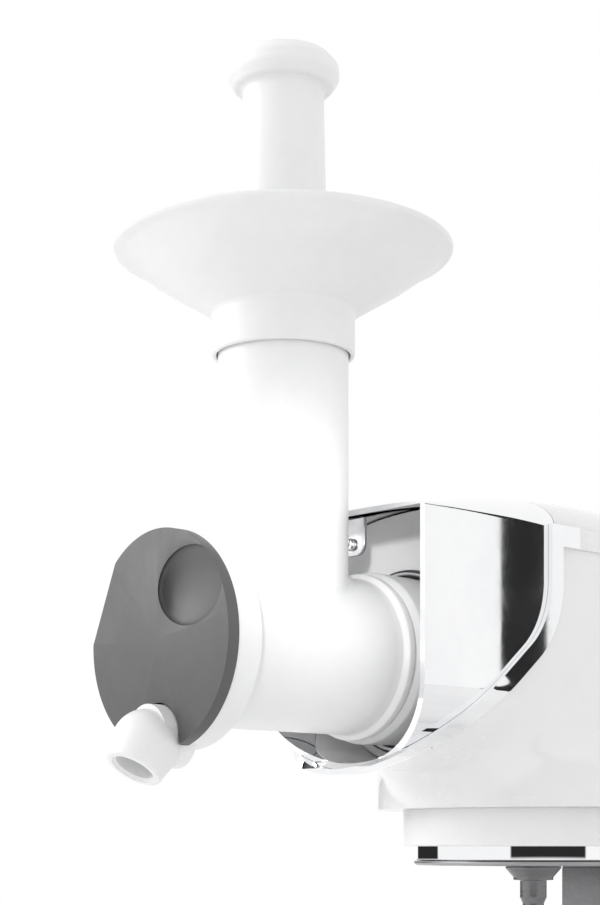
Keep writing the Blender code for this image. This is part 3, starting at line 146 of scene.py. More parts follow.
def from_bmesh(name, bm, merge=MERGED):
    """An object from a bmesh, with its faces turned outwards."""
    bmesh.ops.remove_doubles(bm, verts=bm.verts, dist=merge)
    bmesh.ops.recalc_face_normals(bm, faces=bm.faces)
    mesh = bpy.data.meshes.new(name)
    bm.to_mesh(mesh)
    bm.free()
    return link(bpy.data.objects.new(name, mesh))


@contextlib.contextmanager
def editing(item):
    """The object's mesh as a bmesh, written back afterwards."""
    bm = bmesh.new()
    bm.from_mesh(item.data)
    yield bm
    bm.to_mesh(item.data)
    bm.free()


def settled(item, sharp=38):
    """The object with its modifiers and placing turned into a plain mesh at the origin."""
    bpy.context.view_layer.update()
    graph = bpy.context.evaluated_depsgraph_get()
    mesh = bpy.data.meshes.new_from_object(item.evaluated_get(graph))
    mesh.transform(item.matrix_world)
    name = item.name
    bpy.data.objects.remove(item, do_unlink=True)
    item = link(bpy.data.objects.new(name, mesh))
    if sharp < 180:
        for face in mesh.polygons:
            face.use_smooth = True
        mesh.set_sharp_from_angle(angle=math.radians(sharp))
    return item


def softened(profile, radius, steps=5, closed=False):
    """Round the corners of an outline of (radius, height) points; a point may carry its own radius."""
    points = [Vector(point[:2]) for point in profile]
    radii = [point[2] if len(point) > 2 else radius for point in profile]
    count = len(points)
    result = []
    for index, point in enumerate(points):
        before = points[index - 1]
        after = points[(index + 1) % count]
        ends = index in (0, count - 1)
        if (ends and not closed) or radii[index] <= 0:
            result.append(tuple(point))
            continue
        to_before = before - point
        to_after = after - point
        angle = to_before.angle(to_after)
        if angle > math.radians(176):
            result.append(tuple(point))
            continue
        limit = 0.48 * min(to_before.length, to_after.length)
        reach = min(radii[index] / math.tan(angle / 2), limit)
        curve_r = reach * math.tan(angle / 2)
        first = point + to_before.normalized() * reach
        last = point + to_after.normalized() * reach
        centre = point + (to_before.normalized() + to_after.normalized()).normalized() * (
            curve_r / math.sin(angle / 2)
        )
        for step in range(steps + 1):
            share = step / steps
            spoke = (first - centre).lerp(last - centre, share)
            if spoke.length < 1e-9:
                continue
            result.append(tuple(centre + spoke.normalized() * curve_r))
    return result


def upright(x, y, z=0.0):
    return Matrix.Translation((x, y, z))


def along_y(z=None, x=0.0):
    """Placing for a solid turned about a line along Y; its heights are distances behind the tube."""
    z = BARREL_Z if z is None else z
    return Matrix.Translation((x, TUBE_Y, z)) @ Matrix.Rotation(-math.pi / 2, 4, "X")


def along_x(y, z):
    return Matrix.Translation((0.0, y, z)) @ Matrix.Rotation(math.pi / 2, 4, "Y")


def turned(name, profile, place, radius=0.0006, closed=False, steps=FINE, corner_steps=4):
    """A turned piece with softened corners."""
    outline = softened(profile, radius, corner_steps, closed)
    bm = bmesh.new()
    verts = [bm.verts.new((max(0.0, r), 0.0, h)) for r, h in outline]
    pairs = list(zip(verts, verts[1:]))
    if closed:
        pairs.append((verts[-1], verts[0]))
    for pair in pairs:
        bm.edges.new(pair)
    mesh = bpy.data.meshes.new(name)
    bm.to_mesh(mesh)
    bm.free()
    item = link(bpy.data.objects.new(name, mesh))
    screw = item.modifiers.new("turn", "SCREW")
    screw.steps = steps
    screw.render_steps = steps
    screw.use_merge_vertices = True
    screw.merge_threshold = 0.00001
    item.matrix_world = place
    item = settled(item)
    with editing(item) as bm:
        bmesh.ops.remove_doubles(bm, verts=bm.verts, dist=MERGED)
        bmesh.ops.recalc_face_normals(bm, faces=bm.faces)
    return item


def rod(name, radius, first, last, place, steps=FINE):
    """A plain cylinder between two heights."""
    outline = [(0.0, first), (radius, first), (radius, last), (0.0, last)]
    return turned(name, outline, place, 0.0, steps=steps)


def moved(item, *placings):
    """The object with its mesh turned and shifted by each matrix."""
    for placing in placings:
        item.data.transform(placing)
    return item


def boolean(item, other, operation="DIFFERENCE"):
    cut = item.modifiers.new("cut", "BOOLEAN")
    cut.operation = operation
    cut.solver = "EXACT"
    cut.object = other
    item = settled(item)
    bpy.data.objects.remove(other, do_unlink=True)
    return item


def bevelled(item, width, segments=3, angle=35, harden=False):
    bevel = item.modifiers.new("edges", "BEVEL")
    bevel.width = width
    bevel.segments = segments
    bevel.limit_method = "ANGLE"
    bevel.angle_limit = math.radians(angle)
    bevel.harden_normals = harden
    return settled(item, 180 if harden else 38)


def box_piece(name, low, high, edge=0.0, segments=3):
    bm = bmesh.new()
    centre = (Vector(low) + Vector(high)) / 2
    size = Vector(high) - Vector(low)
    bmesh.ops.create_cube(bm, size=1.0, matrix=Matrix.Translation(centre) @ Matrix.Diagonal((*size, 1.0)))
    item = from_bmesh(name, bm)
    return bevelled(item, edge, segments) if edge else item


def outline_piece(name, outline, thickness, place, edge=0.0, segments=3):
    """A flat piece from a 2D curve, with bevelled edges."""
    curve = bpy.data.curves.new(name, "CURVE")
    curve.dimensions = "2D"
    curve.fill_mode = "BOTH"
    curve.extrude = thickness / 2
    spline = curve.splines.new("POLY")
    spline.points.add(len(outline) - 1)
    for point, (u, v) in zip(spline.points, outline):
        point.co = (u, v, 0.0, 1.0)
    spline.use_cyclic_u = True
    item = link(bpy.data.objects.new(name, curve))
    item.matrix_world = place
    item = settled(item)
    with editing(item) as bm:
        bmesh.ops.remove_doubles(bm, verts=bm.verts, dist=MERGED)
        bmesh.ops.dissolve_limit(bm, angle_limit=0.01, verts=bm.verts, edges=bm.edges)
        bmesh.ops.recalc_face_normals(bm, faces=bm.faces)
    return bevelled(item, edge, segments) if edge else item


def joined(name, pieces):
    """Several closed meshes in one object."""
    bm = bmesh.new()
    for piece in pieces:
        bm.from_mesh(piece.data)
        bpy.data.objects.remove(piece, do_unlink=True)
    mesh = bpy.data.meshes.new(name)
    bm.to_mesh(mesh)
    bm.free()
    item = link(bpy.data.objects.new(name, mesh))
    for face in mesh.polygons:
        face.use_smooth = True
    mesh.set_sharp_from_angle(angle=math.radians(38))
    return item


def surface(name, rows):
    """An open sheet through rows of points."""
    bm = bmesh.new()
    grid = [[bm.verts.new(point) for point in row] for row in rows]
    for row, following in zip(grid, grid[1:]):
        for corners in zip(row, row[1:], following[1:], following):
            bm.faces.new(corners)
    bmesh.ops.remove_doubles(bm, verts=bm.verts, dist=0.000002)
    mesh = bpy.data.meshes.new(name)
    bm.to_mesh(mesh)
    bm.free()
    return link(bpy.data.objects.new(name, mesh))


def arc(centre, radius, start, end, count):
    steps = [start + (end - start) * index / count for index in range(count + 1)]
    return [(centre[0] + radius * math.cos(a), centre[1] + radius * math.sin(a)) for a in steps]


# ---- Mincing attachment ----


def make_pusher():
    """Tapered cup with a bun-shaped head, open above."""
    high = PUSHER_HIGH.z
    low = PUSHER_LOW.z
    head_r = PUSHER_HIGH.x
    under = high - 0.0150
    neck_r = head_r - 0.0068
    foot_r = neck_r + 0.0024
    wall = 0.0025
    tray_z = TRAY_LOW.z + TRAY_FOOT
    profile = [
        (neck_r - wall, high - 0.0012, 0.0012),
        (neck_r - 0.0012, high - 0.0003, 0.0012),
        (head_r - 0.0040, high, 0.0036),
        (head_r + 0.0004, high - 0.0050, 0.0036),
        (head_r + 0.0006, under + 0.0050, 0.0034),
        (head_r - 0.0026, under + 0.0004, 0.0026),
        (neck_r + 0.0003, under, 0.0022),
        (foot_r, tray_z, 0.010),
        (foot_r, low, 0.0020),
        (0.0, low, 0.0),
        (0.0, low + wall, 0.0),
        (foot_r - wall, low + wall, 0.0020),
        (foot_r - wall, tray_z, 0.010),
    ]
    item = turned("pusher_cup", profile, upright(0.0, TUBE_Y), closed=True, corner_steps=6)
    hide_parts("pusher")
    return item


def make_tray():
    """Shallow dish with a rolled rim and the collar that drops over the feed tube."""
    rim_z = TRAY_HIGH.z - 0.0012
    foot_z = TRAY_LOW.z + TRAY_FOOT
    collar_r = 0.0322
    throat = THROAT_R
    over = 0.0296
    seat = BODY_HIGH.z + 0.0003
    profile = [
        (TRAY_R - 0.0006, rim_z + 0.0012, 0.0009),
        (TRAY_R, rim_z - 0.0004, 0.0010),
        (TRAY_R - 0.0010, rim_z - 0.0018, 0.0010),
        (TRAY_R - 0.0048, rim_z - 0.0034, 0.004),
        (0.0580, foot_z + 0.0148, 0.050),
        (0.0440, foot_z + 0.0064, 0.040),
        (collar_r + 0.0006, foot_z - 0.0006, 0.0016),
        (collar_r, foot_z - 0.0022, 0.0012),
        (collar_r, TRAY_LOW.z + 0.0004, 0.0010),
        (over + 0.0006, TRAY_LOW.z, 0.0006),
        (over, seat, 0.0002),
        (throat, seat, 0.0004),
        (throat, foot_z + 0.0002, 0.0012),
        (throat + 0.0052, foot_z + 0.0024, 0.0030),
        (0.0440, foot_z + 0.0090, 0.040),
        (0.0580, foot_z + 0.0174, 0.050),
        (TRAY_R - 0.0050, rim_z - 0.0010, 0.004),
        (TRAY_R - 0.0030, rim_z + 0.0010, 0.0012),
    ]
    item = turned("tray_dish", profile, upright(0.0, TUBE_Y), closed=True, steps=144)
    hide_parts("hopper_tray")
    return item


def tube_wall(tube_r, barrel_r, fillet, top, sink, around=144, rise=40, bend=10):
    """Upright tube ending in an even fillet on the barrel, as rows from the top down."""
    rows = [[] for _ in range(rise + bend + 2)]
    for index in range(around + 1):
        angle = index / around * math.tau
        out = Vector((math.cos(angle), math.sin(angle), 0.0))
        ball = out * (tube_r + fillet)
        lift = math.sqrt((barrel_r + fillet) ** 2 - ball.x**2)
        start = Vector((out.x * tube_r, TUBE_Y + out.y * tube_r, BARREL_Z + lift))
        centre = Vector((ball.x, TUBE_Y + ball.y, BARREL_Z + lift))
        share = barrel_r / (barrel_r + fillet)
        end = Vector((ball.x * share, TUBE_Y + ball.y, BARREL_Z + lift * share))
        for step in range(rise):
            height = top + (start.z - top) * (step / rise)
            rows[step].append((start.x, start.y, height))
        for step in range(bend + 1):
            spoke = (start - centre).normalized().slerp((end - centre).normalized(), step / bend)
            rows[rise + step].append(tuple(centre + spoke * fillet))
        inward = Vector((end.x, 0.0, end.z - BARREL_Z)).normalized() * sink
        rows[rise + bend + 1].append(tuple(end - inward))
    return rows


def throat_rows(top, around=144):
    """Inner wall of the feed tube, from its mouth down to the barrel's bore."""
    rows = []
    for height in (top, top - 0.05, top - 0.10, BARREL_Z + BARREL_R - 0.010):
        radius = THROAT_R if height < top else THROAT_R + 0.0004
        row = []
        for index in range(around + 1):
            angle = index / around * math.tau
            x = radius * math.cos(angle)
            floor = BARREL_Z + math.sqrt(max(0.0, (BARREL_R - BODY_WALL) ** 2 - x * x))
            row.append((x, TUBE_Y + radius * math.sin(angle), max(height, floor)))
        rows.append(row)
    return rows


def make_grinder_body():
    """Barrel, feed tube and rear collar moulded in one piece, with an even fillet under the tube."""
    lug_r = BODY_HIGH.x
    front = BODY_LOW.y - TUBE_Y
    spigot_rear = BODY_HIGH.y - TUBE_Y
    collar_rear = spigot_rear - 0.020
    spigot_r = 0.0200
    spigot_bore = 0.0125
    bore_rear = 0.060
    profile = [
        (spigot_bore, spigot_rear, 0.0005),
        (spigot_r, spigot_rear, 0.0010),
        (spigot_r, collar_rear, 0.0006),
        (COLLAR_R - 0.0008, collar_rear, 0.0008),
        (COLLAR_R, collar_rear - 0.0010, 0.0008),
        (COLLAR_R + 0.0006, collar_rear - 0.0300, 0.0030),
        (COLLAR_R - 0.0012, collar_rear - 0.0325, 0.0014),
        (BARREL_R + 0.0016, collar_rear - 0.0332, 0.0008),
        (BARREL_R + 0.0028, collar_rear - 0.0350, 0.0013),
        (BARREL_R + 0.0026, collar_rear - 0.0378, 0.0014),
        (BARREL_R + 0.0003, collar_rear - 0.0400, 0.0016),
        (BARREL_R, collar_rear - 0.0430, 0.0012),
        (BARREL_R, front + 0.0058, 0.0008),
        (lug_r, front + 0.0055, 0.0006),
        (lug_r, front, 0.0006),
        (BARREL_R - BODY_WALL, front, 0.0006),
        (BARREL_R - BODY_WALL, bore_rear, 0.0010),
        (spigot_bore, bore_rear, 0.0006),
    ]
    barrel = turned("barrel", profile, along_y(), closed=True, steps=160)
    barrel = boolean(barrel, rod("cutter", THROAT_R, 0.10, 0.0, upright(0.0, TUBE_Y, BARREL_Z)))
    top = BODY_HIGH.z
    outer = tube_wall(THROAT_R + 0.0033, BARREL_R, 0.0060, top - 0.0006, 0.0004)
    lip = []
    for x, y, _ in outer[0]:
        out = Vector((x, y - TUBE_Y)).normalized() * (THROAT_R + 0.0028)
        lip.append((out.x, TUBE_Y + out.y, top))
    tube = surface("tube", throat_rows(top)[::-1] + [lip] + outer)
    with editing(tube) as bm:
        lean = 0.0
        for face in bm.faces:
            spoke = face.calc_center_median() - Vector((0.0, TUBE_Y, 0.0))
            spoke.z = 0.0
            if spoke.length > THROAT_R + 0.0030:
                lean += face.normal.dot(spoke)
        if lean < 0:
            bmesh.ops.reverse_faces(bm, faces=bm.faces)
    item = joined("grinder_casting", [barrel, tube])
    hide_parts("grinder_body")
    return item


SPOUT_SPOT = Vector((0.0, TUBE_Y - SPOUT_REACH, BARREL_Z - SPOUT_DROP))
NECK_Z = SPOUT_SPOT.z + NECK_RISE


def spout_place():
    return Matrix.Translation(SPOUT_SPOT) @ Matrix.Rotation(math.pi / 2 + SPOUT_ANGLE, 4, "X")


def spout_form(extra, lip):
    """Round-rooted spout and the level neck behind it, as one solid."""
    root_r = SPOUT_ROOT_R + extra
    tip_r = SPOUT_TIP_R + extra
    dome = [(0.0, -root_r)] + arc((0.0, 0.0), root_r, -math.pi / 2, 0.0, 20)[1:]
    profile = [(u, v, 0.0) for u, v in dome]
    profile += [
        (tip_r + 0.0003, SPOUT_LENGTH - 0.0022, 0.0008),
        (tip_r, SPOUT_LENGTH, lip),
        (0.0, SPOUT_LENGTH, 0.0),
    ]
    spout = turned("spout", profile, spout_place(), steps=96)
    neck = rod("neck", NECK_R + extra, OUTLET_FRONT + 0.0045, -SPOUT_REACH, along_y(NECK_Z))
    return boolean(spout, neck, "UNION")


def make_outlet():
    """Outlet housing with its lipped spout."""
    lug_r = BODY_HIGH.x + 0.0006
    seal_r = BARREL_R + 0.0006
    front = OUTLET_FRONT
    rear = OUTLET_HIGH.y - TUBE_Y
    wall_face = front + 0.003
    radius = OUTLET_HIGH.x
    profile = [
        (0.0, wall_face, 0.0),
        (lug_r, wall_face, 0.0010),
        (lug_r, rear - 0.0018, 0.0004),
        (seal_r, rear - 0.0015, 0.0003),
        (seal_r, rear, 0.0005),
        (radius - 0.0010, rear, 0.0010),
        (radius, rear - 0.0012, 0.0010),
        (radius, front, 0.0003),
        (0.0, front, 0.0),
    ]
    housing = turned("housing", profile, along_y(), steps=160)
    bore = [
        (0.0, SPOUT_LENGTH + SPARE),
        (SPOUT_BORE_R + 0.0013, SPOUT_LENGTH + SPARE),
        (SPOUT_BORE_R + 0.0013, SPOUT_LENGTH - 0.0002),
        (SPOUT_BORE_R + 0.0001, SPOUT_LENGTH - 0.0014),
        (SPOUT_BORE_R, 0.0),
        (0.0, 0.0),
    ]
    spout = boolean(spout_form(0.0, 0.0011), turned("bore", bore, spout_place(), 0.0, steps=72))
    past_wall = wall_face + 0.004
    spout = boolean(spout, rod("through", NECK_BORE_R, past_wall, -SPOUT_REACH, along_y(NECK_Z), 72))
    housing = boolean(housing, rod("opening", NECK_BORE_R, past_wall, front - 0.004, along_y(NECK_Z), 72))
    item = joined("outlet_ring", [housing, spout])
    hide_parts("outlet_housing")
    return item


def make_cap():
    """Dark cap with a flat on one side, a notch round the spout and a finger scoop."""
    rear = CAP_HIGH.y - TUBE_Y
    front = CAP_LOW.y - TUBE_Y
    chord_reach = 0.0433
    chord_turn = Matrix.Rotation(-math.radians(154.5), 4, "Y")
    chord = box_piece("chord", (chord_reach, -0.1, -0.1), (0.15, 0.1, 0.1))
    chord = moved(chord, chord_turn, Matrix.Translation((0.0, TUBE_Y, BARREL_Z)))
    cap = boolean(rod("cap_plate", CAP_HIGH.x, rear, front, along_y(), 224), chord)
    cap = boolean(cap, spout_form(NOTCH_GAP, 0.0))
    ball = arc((0.0, 0.0), 1.0, -math.pi / 2, math.pi / 2, 48)
    scoop = moved(
        turned("scoop", ball, Matrix.Identity(4), 0.0, steps=96),
        Matrix.Diagonal((*SCOOP_HALF, 1.0)),
        Matrix.Rotation(-SCOOP_TILT, 4, "Z"),
        Matrix.Translation((SCOOP_ACROSS, TUBE_Y + front, BARREL_Z + SCOOP_UP)),
    )
    item = bevelled(boolean(cap, scoop), 0.0011, 4, 28)
    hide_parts("front_cap")
    return item


# ---- Head ----


def crown(distance):
    share = min(1.0, (distance - HEAD_FRONT) / (CROWN_BACK - HEAD_FRONT))
    return CROWN_FRONT + (CROWN_TOP - CROWN_FRONT) * math.sin(share * math.pi / 2)


def head_section(distance, grow, count=52):
    """Outline of the head across the machine: a round keel, upright sides and a crowned roof."""
    past = max(0.0, (distance - (HEAD_REAR - REAR_ROUND)) / REAR_ROUND)
    pull = 1.0 - math.sqrt(max(0.0, 1.0 - min(1.0, past) ** TAIL_POWER))
    width = (HEAD_WIDTH + grow) * (1.0 - TAIL_NARROWING * pull)
    low = HEAD_LOW - grow + TAIL_LIFT * pull
    rise = crown(min(distance, HEAD_REAR)) * (1.0 - 0.5 * pull) + grow
    shoulder = SHOULDER_Z - TAIL_DROP * pull
    points = []
    shares = (0.02, 0.08, 0.5, 0.94, 0.985)
    upright_rows = [HEAD_ROUND_Z + (shoulder - HEAD_ROUND_Z) * share for share in shares]
    for x, drop in arc((0.0, 0.0), 1.0, 0.0, -math.pi, count):
        points.append(Vector((x * width, back(distance), HEAD_ROUND_Z + drop * (HEAD_ROUND_Z - low))))
    points += [Vector((-width, back(distance), height)) for height in upright_rows]
    for x, lift in arc((0.0, 0.0), 1.0, math.pi, 0.0, count):
        points.append(Vector((x * width, back(distance), shoulder + lift * rise)))
    points += [Vector((width, back(distance), height)) for height in reversed(upright_rows)]
    return points


def head_form(grow, first, last):
    """Solid head form, grown by an even amount, between two places along it."""
    bm = bmesh.new()
    turn_from = HEAD_REAR - REAR_ROUND
    places = [first + (turn_from - first) * index / 44 for index in range(45)]
    places += [turn_from + REAR_ROUND * math.sin(index / 26 * math.pi / 2) for index in range(1, 27)]
    places = [place for place in places if place < last - 0.0002] + [last]
    rings = [[bm.verts.new(point) for point in head_section(place, grow)] for place in places]
    for ring, following in zip(rings, rings[1:]):
        for index in range(len(ring)):
            after = (index + 1) % len(ring)
            bm.faces.new((ring[index], ring[after], following[after], following[index]))
    bm.faces.new(rings[0])
    bm.faces.new(rings[-1][::-1])
    return from_bmesh("form", bm)


def side_view():
    return Matrix(((0, 0, 1, 0), (1, 0, 0, TUBE_Y), (0, 1, 0, 0), (0, 0, 0, 1)))


def clipped(item, outline):
    return boolean(item, outline_piece("region", outline, 0.3, side_view()), "INTERSECT")


def sweep_path(offset=0.0, steps=28):
    """Side view of the line where the bright cowl meets the head shell, moved sideways by an offset."""
    turn = math.pi / 2 - SWEEP_ANGLE
    corner_z = SWEEP_LIP[1] + (SWEEP_REAR - SWEEP_LIP[0]) * math.tan(SWEEP_ANGLE)
    centre = (SWEEP_REAR - SWEEP_R, corner_z + SWEEP_R * math.tan(turn / 2))
    start = (
        SWEEP_LIP[0] - 0.020 * math.cos(SWEEP_ANGLE) + offset * math.sin(SWEEP_ANGLE),
        SWEEP_LIP[1] - 0.020 * math.sin(SWEEP_ANGLE) - offset * math.cos(SWEEP_ANGLE),
    )
    return [start] + arc(centre, SWEEP_R + offset, -turn, 0.0, steps)


def hollow_head(first=HEAD_FRONT, last=HEAD_REAR):
    return boolean(head_form(0.0, first, last), head_form(-HEAD_WALL, first - 0.010, last - HEAD_WALL))


def make_cowl():
    """Polished cowl round the drive opening, and its rim."""
    path = sweep_path(-SEAM / 2)
    front = arc((HEAD_FRONT + FRONT_ARC_R, HEAD_ROUND_Z + 0.003), FRONT_ARC_R, math.pi, 1.28 * math.pi, 20)
    slope = math.tan(SWEEP_ANGLE)
    kept = [point for point in front if point[1] > SWEEP_LIP[1] + (point[0] - SWEEP_LIP[0]) * slope + 0.0004]
    foot = kept[-1][0] + 0.0002
    meet = (foot, SWEEP_LIP[1] + (foot - SWEEP_LIP[0]) * slope + 0.0002)
    region = [(SWEEP_REAR - SEAM / 2, ABOVE), (HEAD_FRONT - 0.001, ABOVE)] + kept + [meet] + path[1:]
    cowl = bevelled(clipped(hollow_head(last=0.16), region), 0.0007, 3, 40, harden=True)
    cowl.name = "cowl_shell"
    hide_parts("front_cowl")
    top = SHOULDER_Z
    foot_back = SWEEP_REAR + 0.016
    outer = sweep_path(RIM_HALF)
    inner = sweep_path(-RIM_HALF)
    step = [(SWEEP_REAR + RIM_HALF, top - 0.010), (foot_back, top - 0.010), (foot_back, top)]
    strip = head_form(RIM_PROUD, HEAD_FRONT, SWEEP_REAR + 0.03)
    strip = boolean(strip, head_form(0.0001, HEAD_FRONT - SPARE, SWEEP_REAR + 0.05))
    rim = clipped(strip, outer + step + [(SWEEP_REAR - RIM_HALF, top)] + inner[::-1])
    rim = bevelled(rim, 0.0013, 5, 40, harden=True)
    rim.name = "cowl_rim_strip"
    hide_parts("cowl_rim")
    return cowl, rim


def shell_distance(points):
    """Distance of each point from the head form flowing into the round chin."""
    across, along, height = points[:, 0], points[:, 1] - TUBE_Y, points[:, 2]
    past = np.clip((along - (HEAD_REAR - REAR_ROUND)) / REAR_ROUND, 0.0, 1.0)
    pull = 1.0 - np.sqrt(np.maximum(0.0, 1.0 - past**TAIL_POWER))
    width = HEAD_WIDTH * (1.0 - TAIL_NARROWING * pull)
    depth = HEAD_ROUND_Z - (HEAD_LOW + TAIL_LIFT * pull)
    drop = np.minimum(0.0, height - HEAD_ROUND_Z)
    reach = np.sqrt((across / width) ** 2 + (drop / depth) ** 2) + 1e-6
    slope = np.sqrt((across / width**2) ** 2 + (drop / depth**2) ** 2) + 1e-3
    head = np.maximum((reach - 1.0) * reach / slope, along - HEAD_REAR)
    head = np.maximum(head, HEAD_FRONT - along)
    outward = np.hypot(across, points[:, 1] - PLANET_Y) - (CHIN_R - CHIN_ROUND)
    upward = height - (CHIN_TOP - CHIN_ROUND)
    corner = np.hypot(np.maximum(outward, 0.0), np.maximum(upward, 0.0))
    chin = corner + np.minimum(np.maximum(outward, upward), 0.0) - CHIN_ROUND
    share = np.clip(0.5 + 0.5 * (chin - head) / CHIN_BLEND, 0.0, 1.0)
    return chin + (head - chin) * share - CHIN_BLEND * share * (1.0 - share)


def flowed(item):
    """The form remeshed and laid on the shell_distance surface, where head and chin meet smoothly."""
    remesh = item.modifiers.new("remesh", "REMESH")
    remesh.mode = "VOXEL"
    remesh.voxel_size = SHELL_GRAIN
    item = settled(item, 180)
    mesh = item.data
    count = len(mesh.vertices)
    points = np.empty(count * 3)
    mesh.vertices.foreach_get("co", points)
    points = points.reshape(-1, 3)
    edges = np.empty(len(mesh.edges) * 2, int)
    mesh.edges.foreach_get("vertices", edges)
    edges = edges.reshape(-1, 2)
    near = np.bincount(edges.ravel(), minlength=count)[:, None]
    lasting = points[:, 2] < SEAM_Z + 0.012
    step = 1e-5
    for _ in range(7):
        total = np.zeros_like(points)
        np.add.at(total, edges[:, 0], points[edges[:, 1]])
        np.add.at(total, edges[:, 1], points[edges[:, 0]])
        moved = points * 0.5 + total / near * 0.5
        for _ in range(3):
            value = shell_distance(moved)
            ahead = [shell_distance(moved + step * axis) for axis in np.eye(3)]
            rise = (np.stack(ahead, axis=1) - value[:, None]) / step
            move = rise * (value / np.maximum(0.05, (rise**2).sum(axis=1)))[:, None]
            moved -= np.clip(move, -0.003, 0.003)
        free = lasting & (points[:, 2] > CHIN_LOW - 0.6 * CHIN_SPARE)
        points[free] = moved[free]
    mesh.vertices.foreach_set("co", points.ravel())
    mesh.update()
    return item


def make_chin_form():
    """Round chin over the planetary drive, as a solid that runs on below its lower edge."""
    low = CHIN_LOW - CHIN_SPARE
    profile = [(0.0, CHIN_TOP, 0.0), (CHIN_R, CHIN_TOP, CHIN_ROUND), (CHIN_R, low, 0.0), (0.0, low, 0.0)]
    return turned("chin", profile, upright(0.0, PLANET_Y), steps=160, corner_steps=9)


def make_lower_shell():
    """Lower head shell with the round chin, open below for the planetary drive and behind for the hinge."""
    shell = flowed(boolean(head_form(0.0, HEAD_FRONT, HEAD_REAR), make_chin_form(), "UNION"))
    under = box_piece("under", (-0.3, TUBE_Y - 0.3, CHIN_LOW - 0.1), (0.3, back(HEAD_REAR + 0.1), CHIN_LOW))
    shell = boolean(shell, under)
    shell = boolean(shell, head_form(-HEAD_WALL, HEAD_FRONT - 0.010, HEAD_REAR - HEAD_WALL))
    inside = CHIN_R - HEAD_WALL
    high = CHIN_TOP - HEAD_WALL
    low = CHIN_LOW + HEAD_WALL
    hollow = [(0.0, high, 0.0), (inside, high, 0.020), (inside, low, 0.0), (0.0, low, 0.0)]
    shell = boolean(shell, turned("hollow", hollow, upright(0.0, PLANET_Y), corner_steps=8))
    mouth_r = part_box("planetary_guard_ring")[1].x + 0.0004
    shell = boolean(shell, rod("mouth", mouth_r, low + SPARE, low - 0.02, upright(0.0, PLANET_Y)))
    pin = middle("hinge_pin")
    slot_high = (0.025, back(HEAD_REAR + SPARE), pin.z - 0.008)
    slot = box_piece("slot", (-0.025, pin.y - 0.024, BELOW), slot_high, 0.002)
    shell = boolean(shell, slot)
    shell = boolean(shell, rod("bore", 0.0053, 0.08, -0.08, along_x(pin.y, pin.z), 48))
    path = sweep_path(SEAM / 2)
    seam = SEAM_Z - 0.0003
    rear = HEAD_REAR + 0.05
    region = path + [(SWEEP_REAR + SEAM / 2, seam), (rear, seam), (rear, BELOW), (path[0][0], BELOW)]
    shell = bevelled(clipped(shell, region), 0.0006, 3, 50, harden=True)
    shell.name = "lower_shell_skin"
    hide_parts("head_lower_shell")
    return shell


def make_top_cover():
    """Crowned top cover behind the cowl, and the two strips over its side seams."""
    front = SWEEP_REAR + SEAM / 2
    rear = HEAD_REAR + 0.05
    low = SEAM_Z + 0.0001
    cover = clipped(hollow_head(), [(front, low), (rear, low), (rear, ABOVE), (front, ABOVE)])
    cover = bevelled(cover, 0.0007, 3, 40, harden=True)
    cover.name = "top_cover_skin"
    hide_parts("head_top_cover")
    first = SWEEP_REAR + 0.0163
    last = HEAD_REAR - REAR_ROUND
    strip = head_form(0.0014, first - SPARE, last + SPARE)
    strip = boolean(strip, head_form(0.0001, first - 2 * SPARE, last + 2 * SPARE))
    high = SHOULDER_Z
    strip = clipped(strip, [(first, high - 0.010), (last, high - 0.010), (last, high), (first, high)])
    strip = bevelled(strip, 0.0005, 3, 40)
    sides = []
    for name, side in (("belt_left_trim", -1), ("belt_right_trim", 1)):
        half = link(bpy.data.objects.new(name, strip.data.copy()))
        with editing(half) as bm:
            other = [vert for vert in bm.verts if vert.co.x * side < 0]
            bmesh.ops.delete(bm, geom=other, context="VERTS")
        sides.append(half)
    bpy.data.objects.remove(strip, do_unlink=True)
    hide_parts("belt_strip_left")
    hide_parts("belt_strip_right")
    return cover, sides


def make_hub():
    """Chrome ring round the front drive and the panel that it stands on."""
    low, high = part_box("hub_ring")
    outer = high.x
    front = low.y - TUBE_Y
    rear = high.y - TUBE_Y
    inner = 0.0404
    profile = [
        (outer, rear, 0.0004),
        (outer, front + 0.0014, 0.0018),
        (outer - 0.0012, front, 0.0010),
        (inner + 0.0006, front, 0.0006),
        (inner, front + 0.0010, 0.0006),
        (inner, rear, 0.0003),
    ]
    ring = turned("hub_collar", profile, along_y(), closed=True, steps=160)
    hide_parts("hub_ring")
    low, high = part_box("recess_panel")
    first = low.y - TUBE_Y
    panel = head_form(-HEAD_WALL - 0.0004, first, high.y - TUBE_Y)
    panel = boolean(panel, rod("hole", 0.0204, 0.2, 0.0, along_y()))
    panel = bevelled(panel, 0.0006, 3, 40, harden=True)
    panel.name = "recess_plate"
    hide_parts("recess_panel")
    return ring, panel


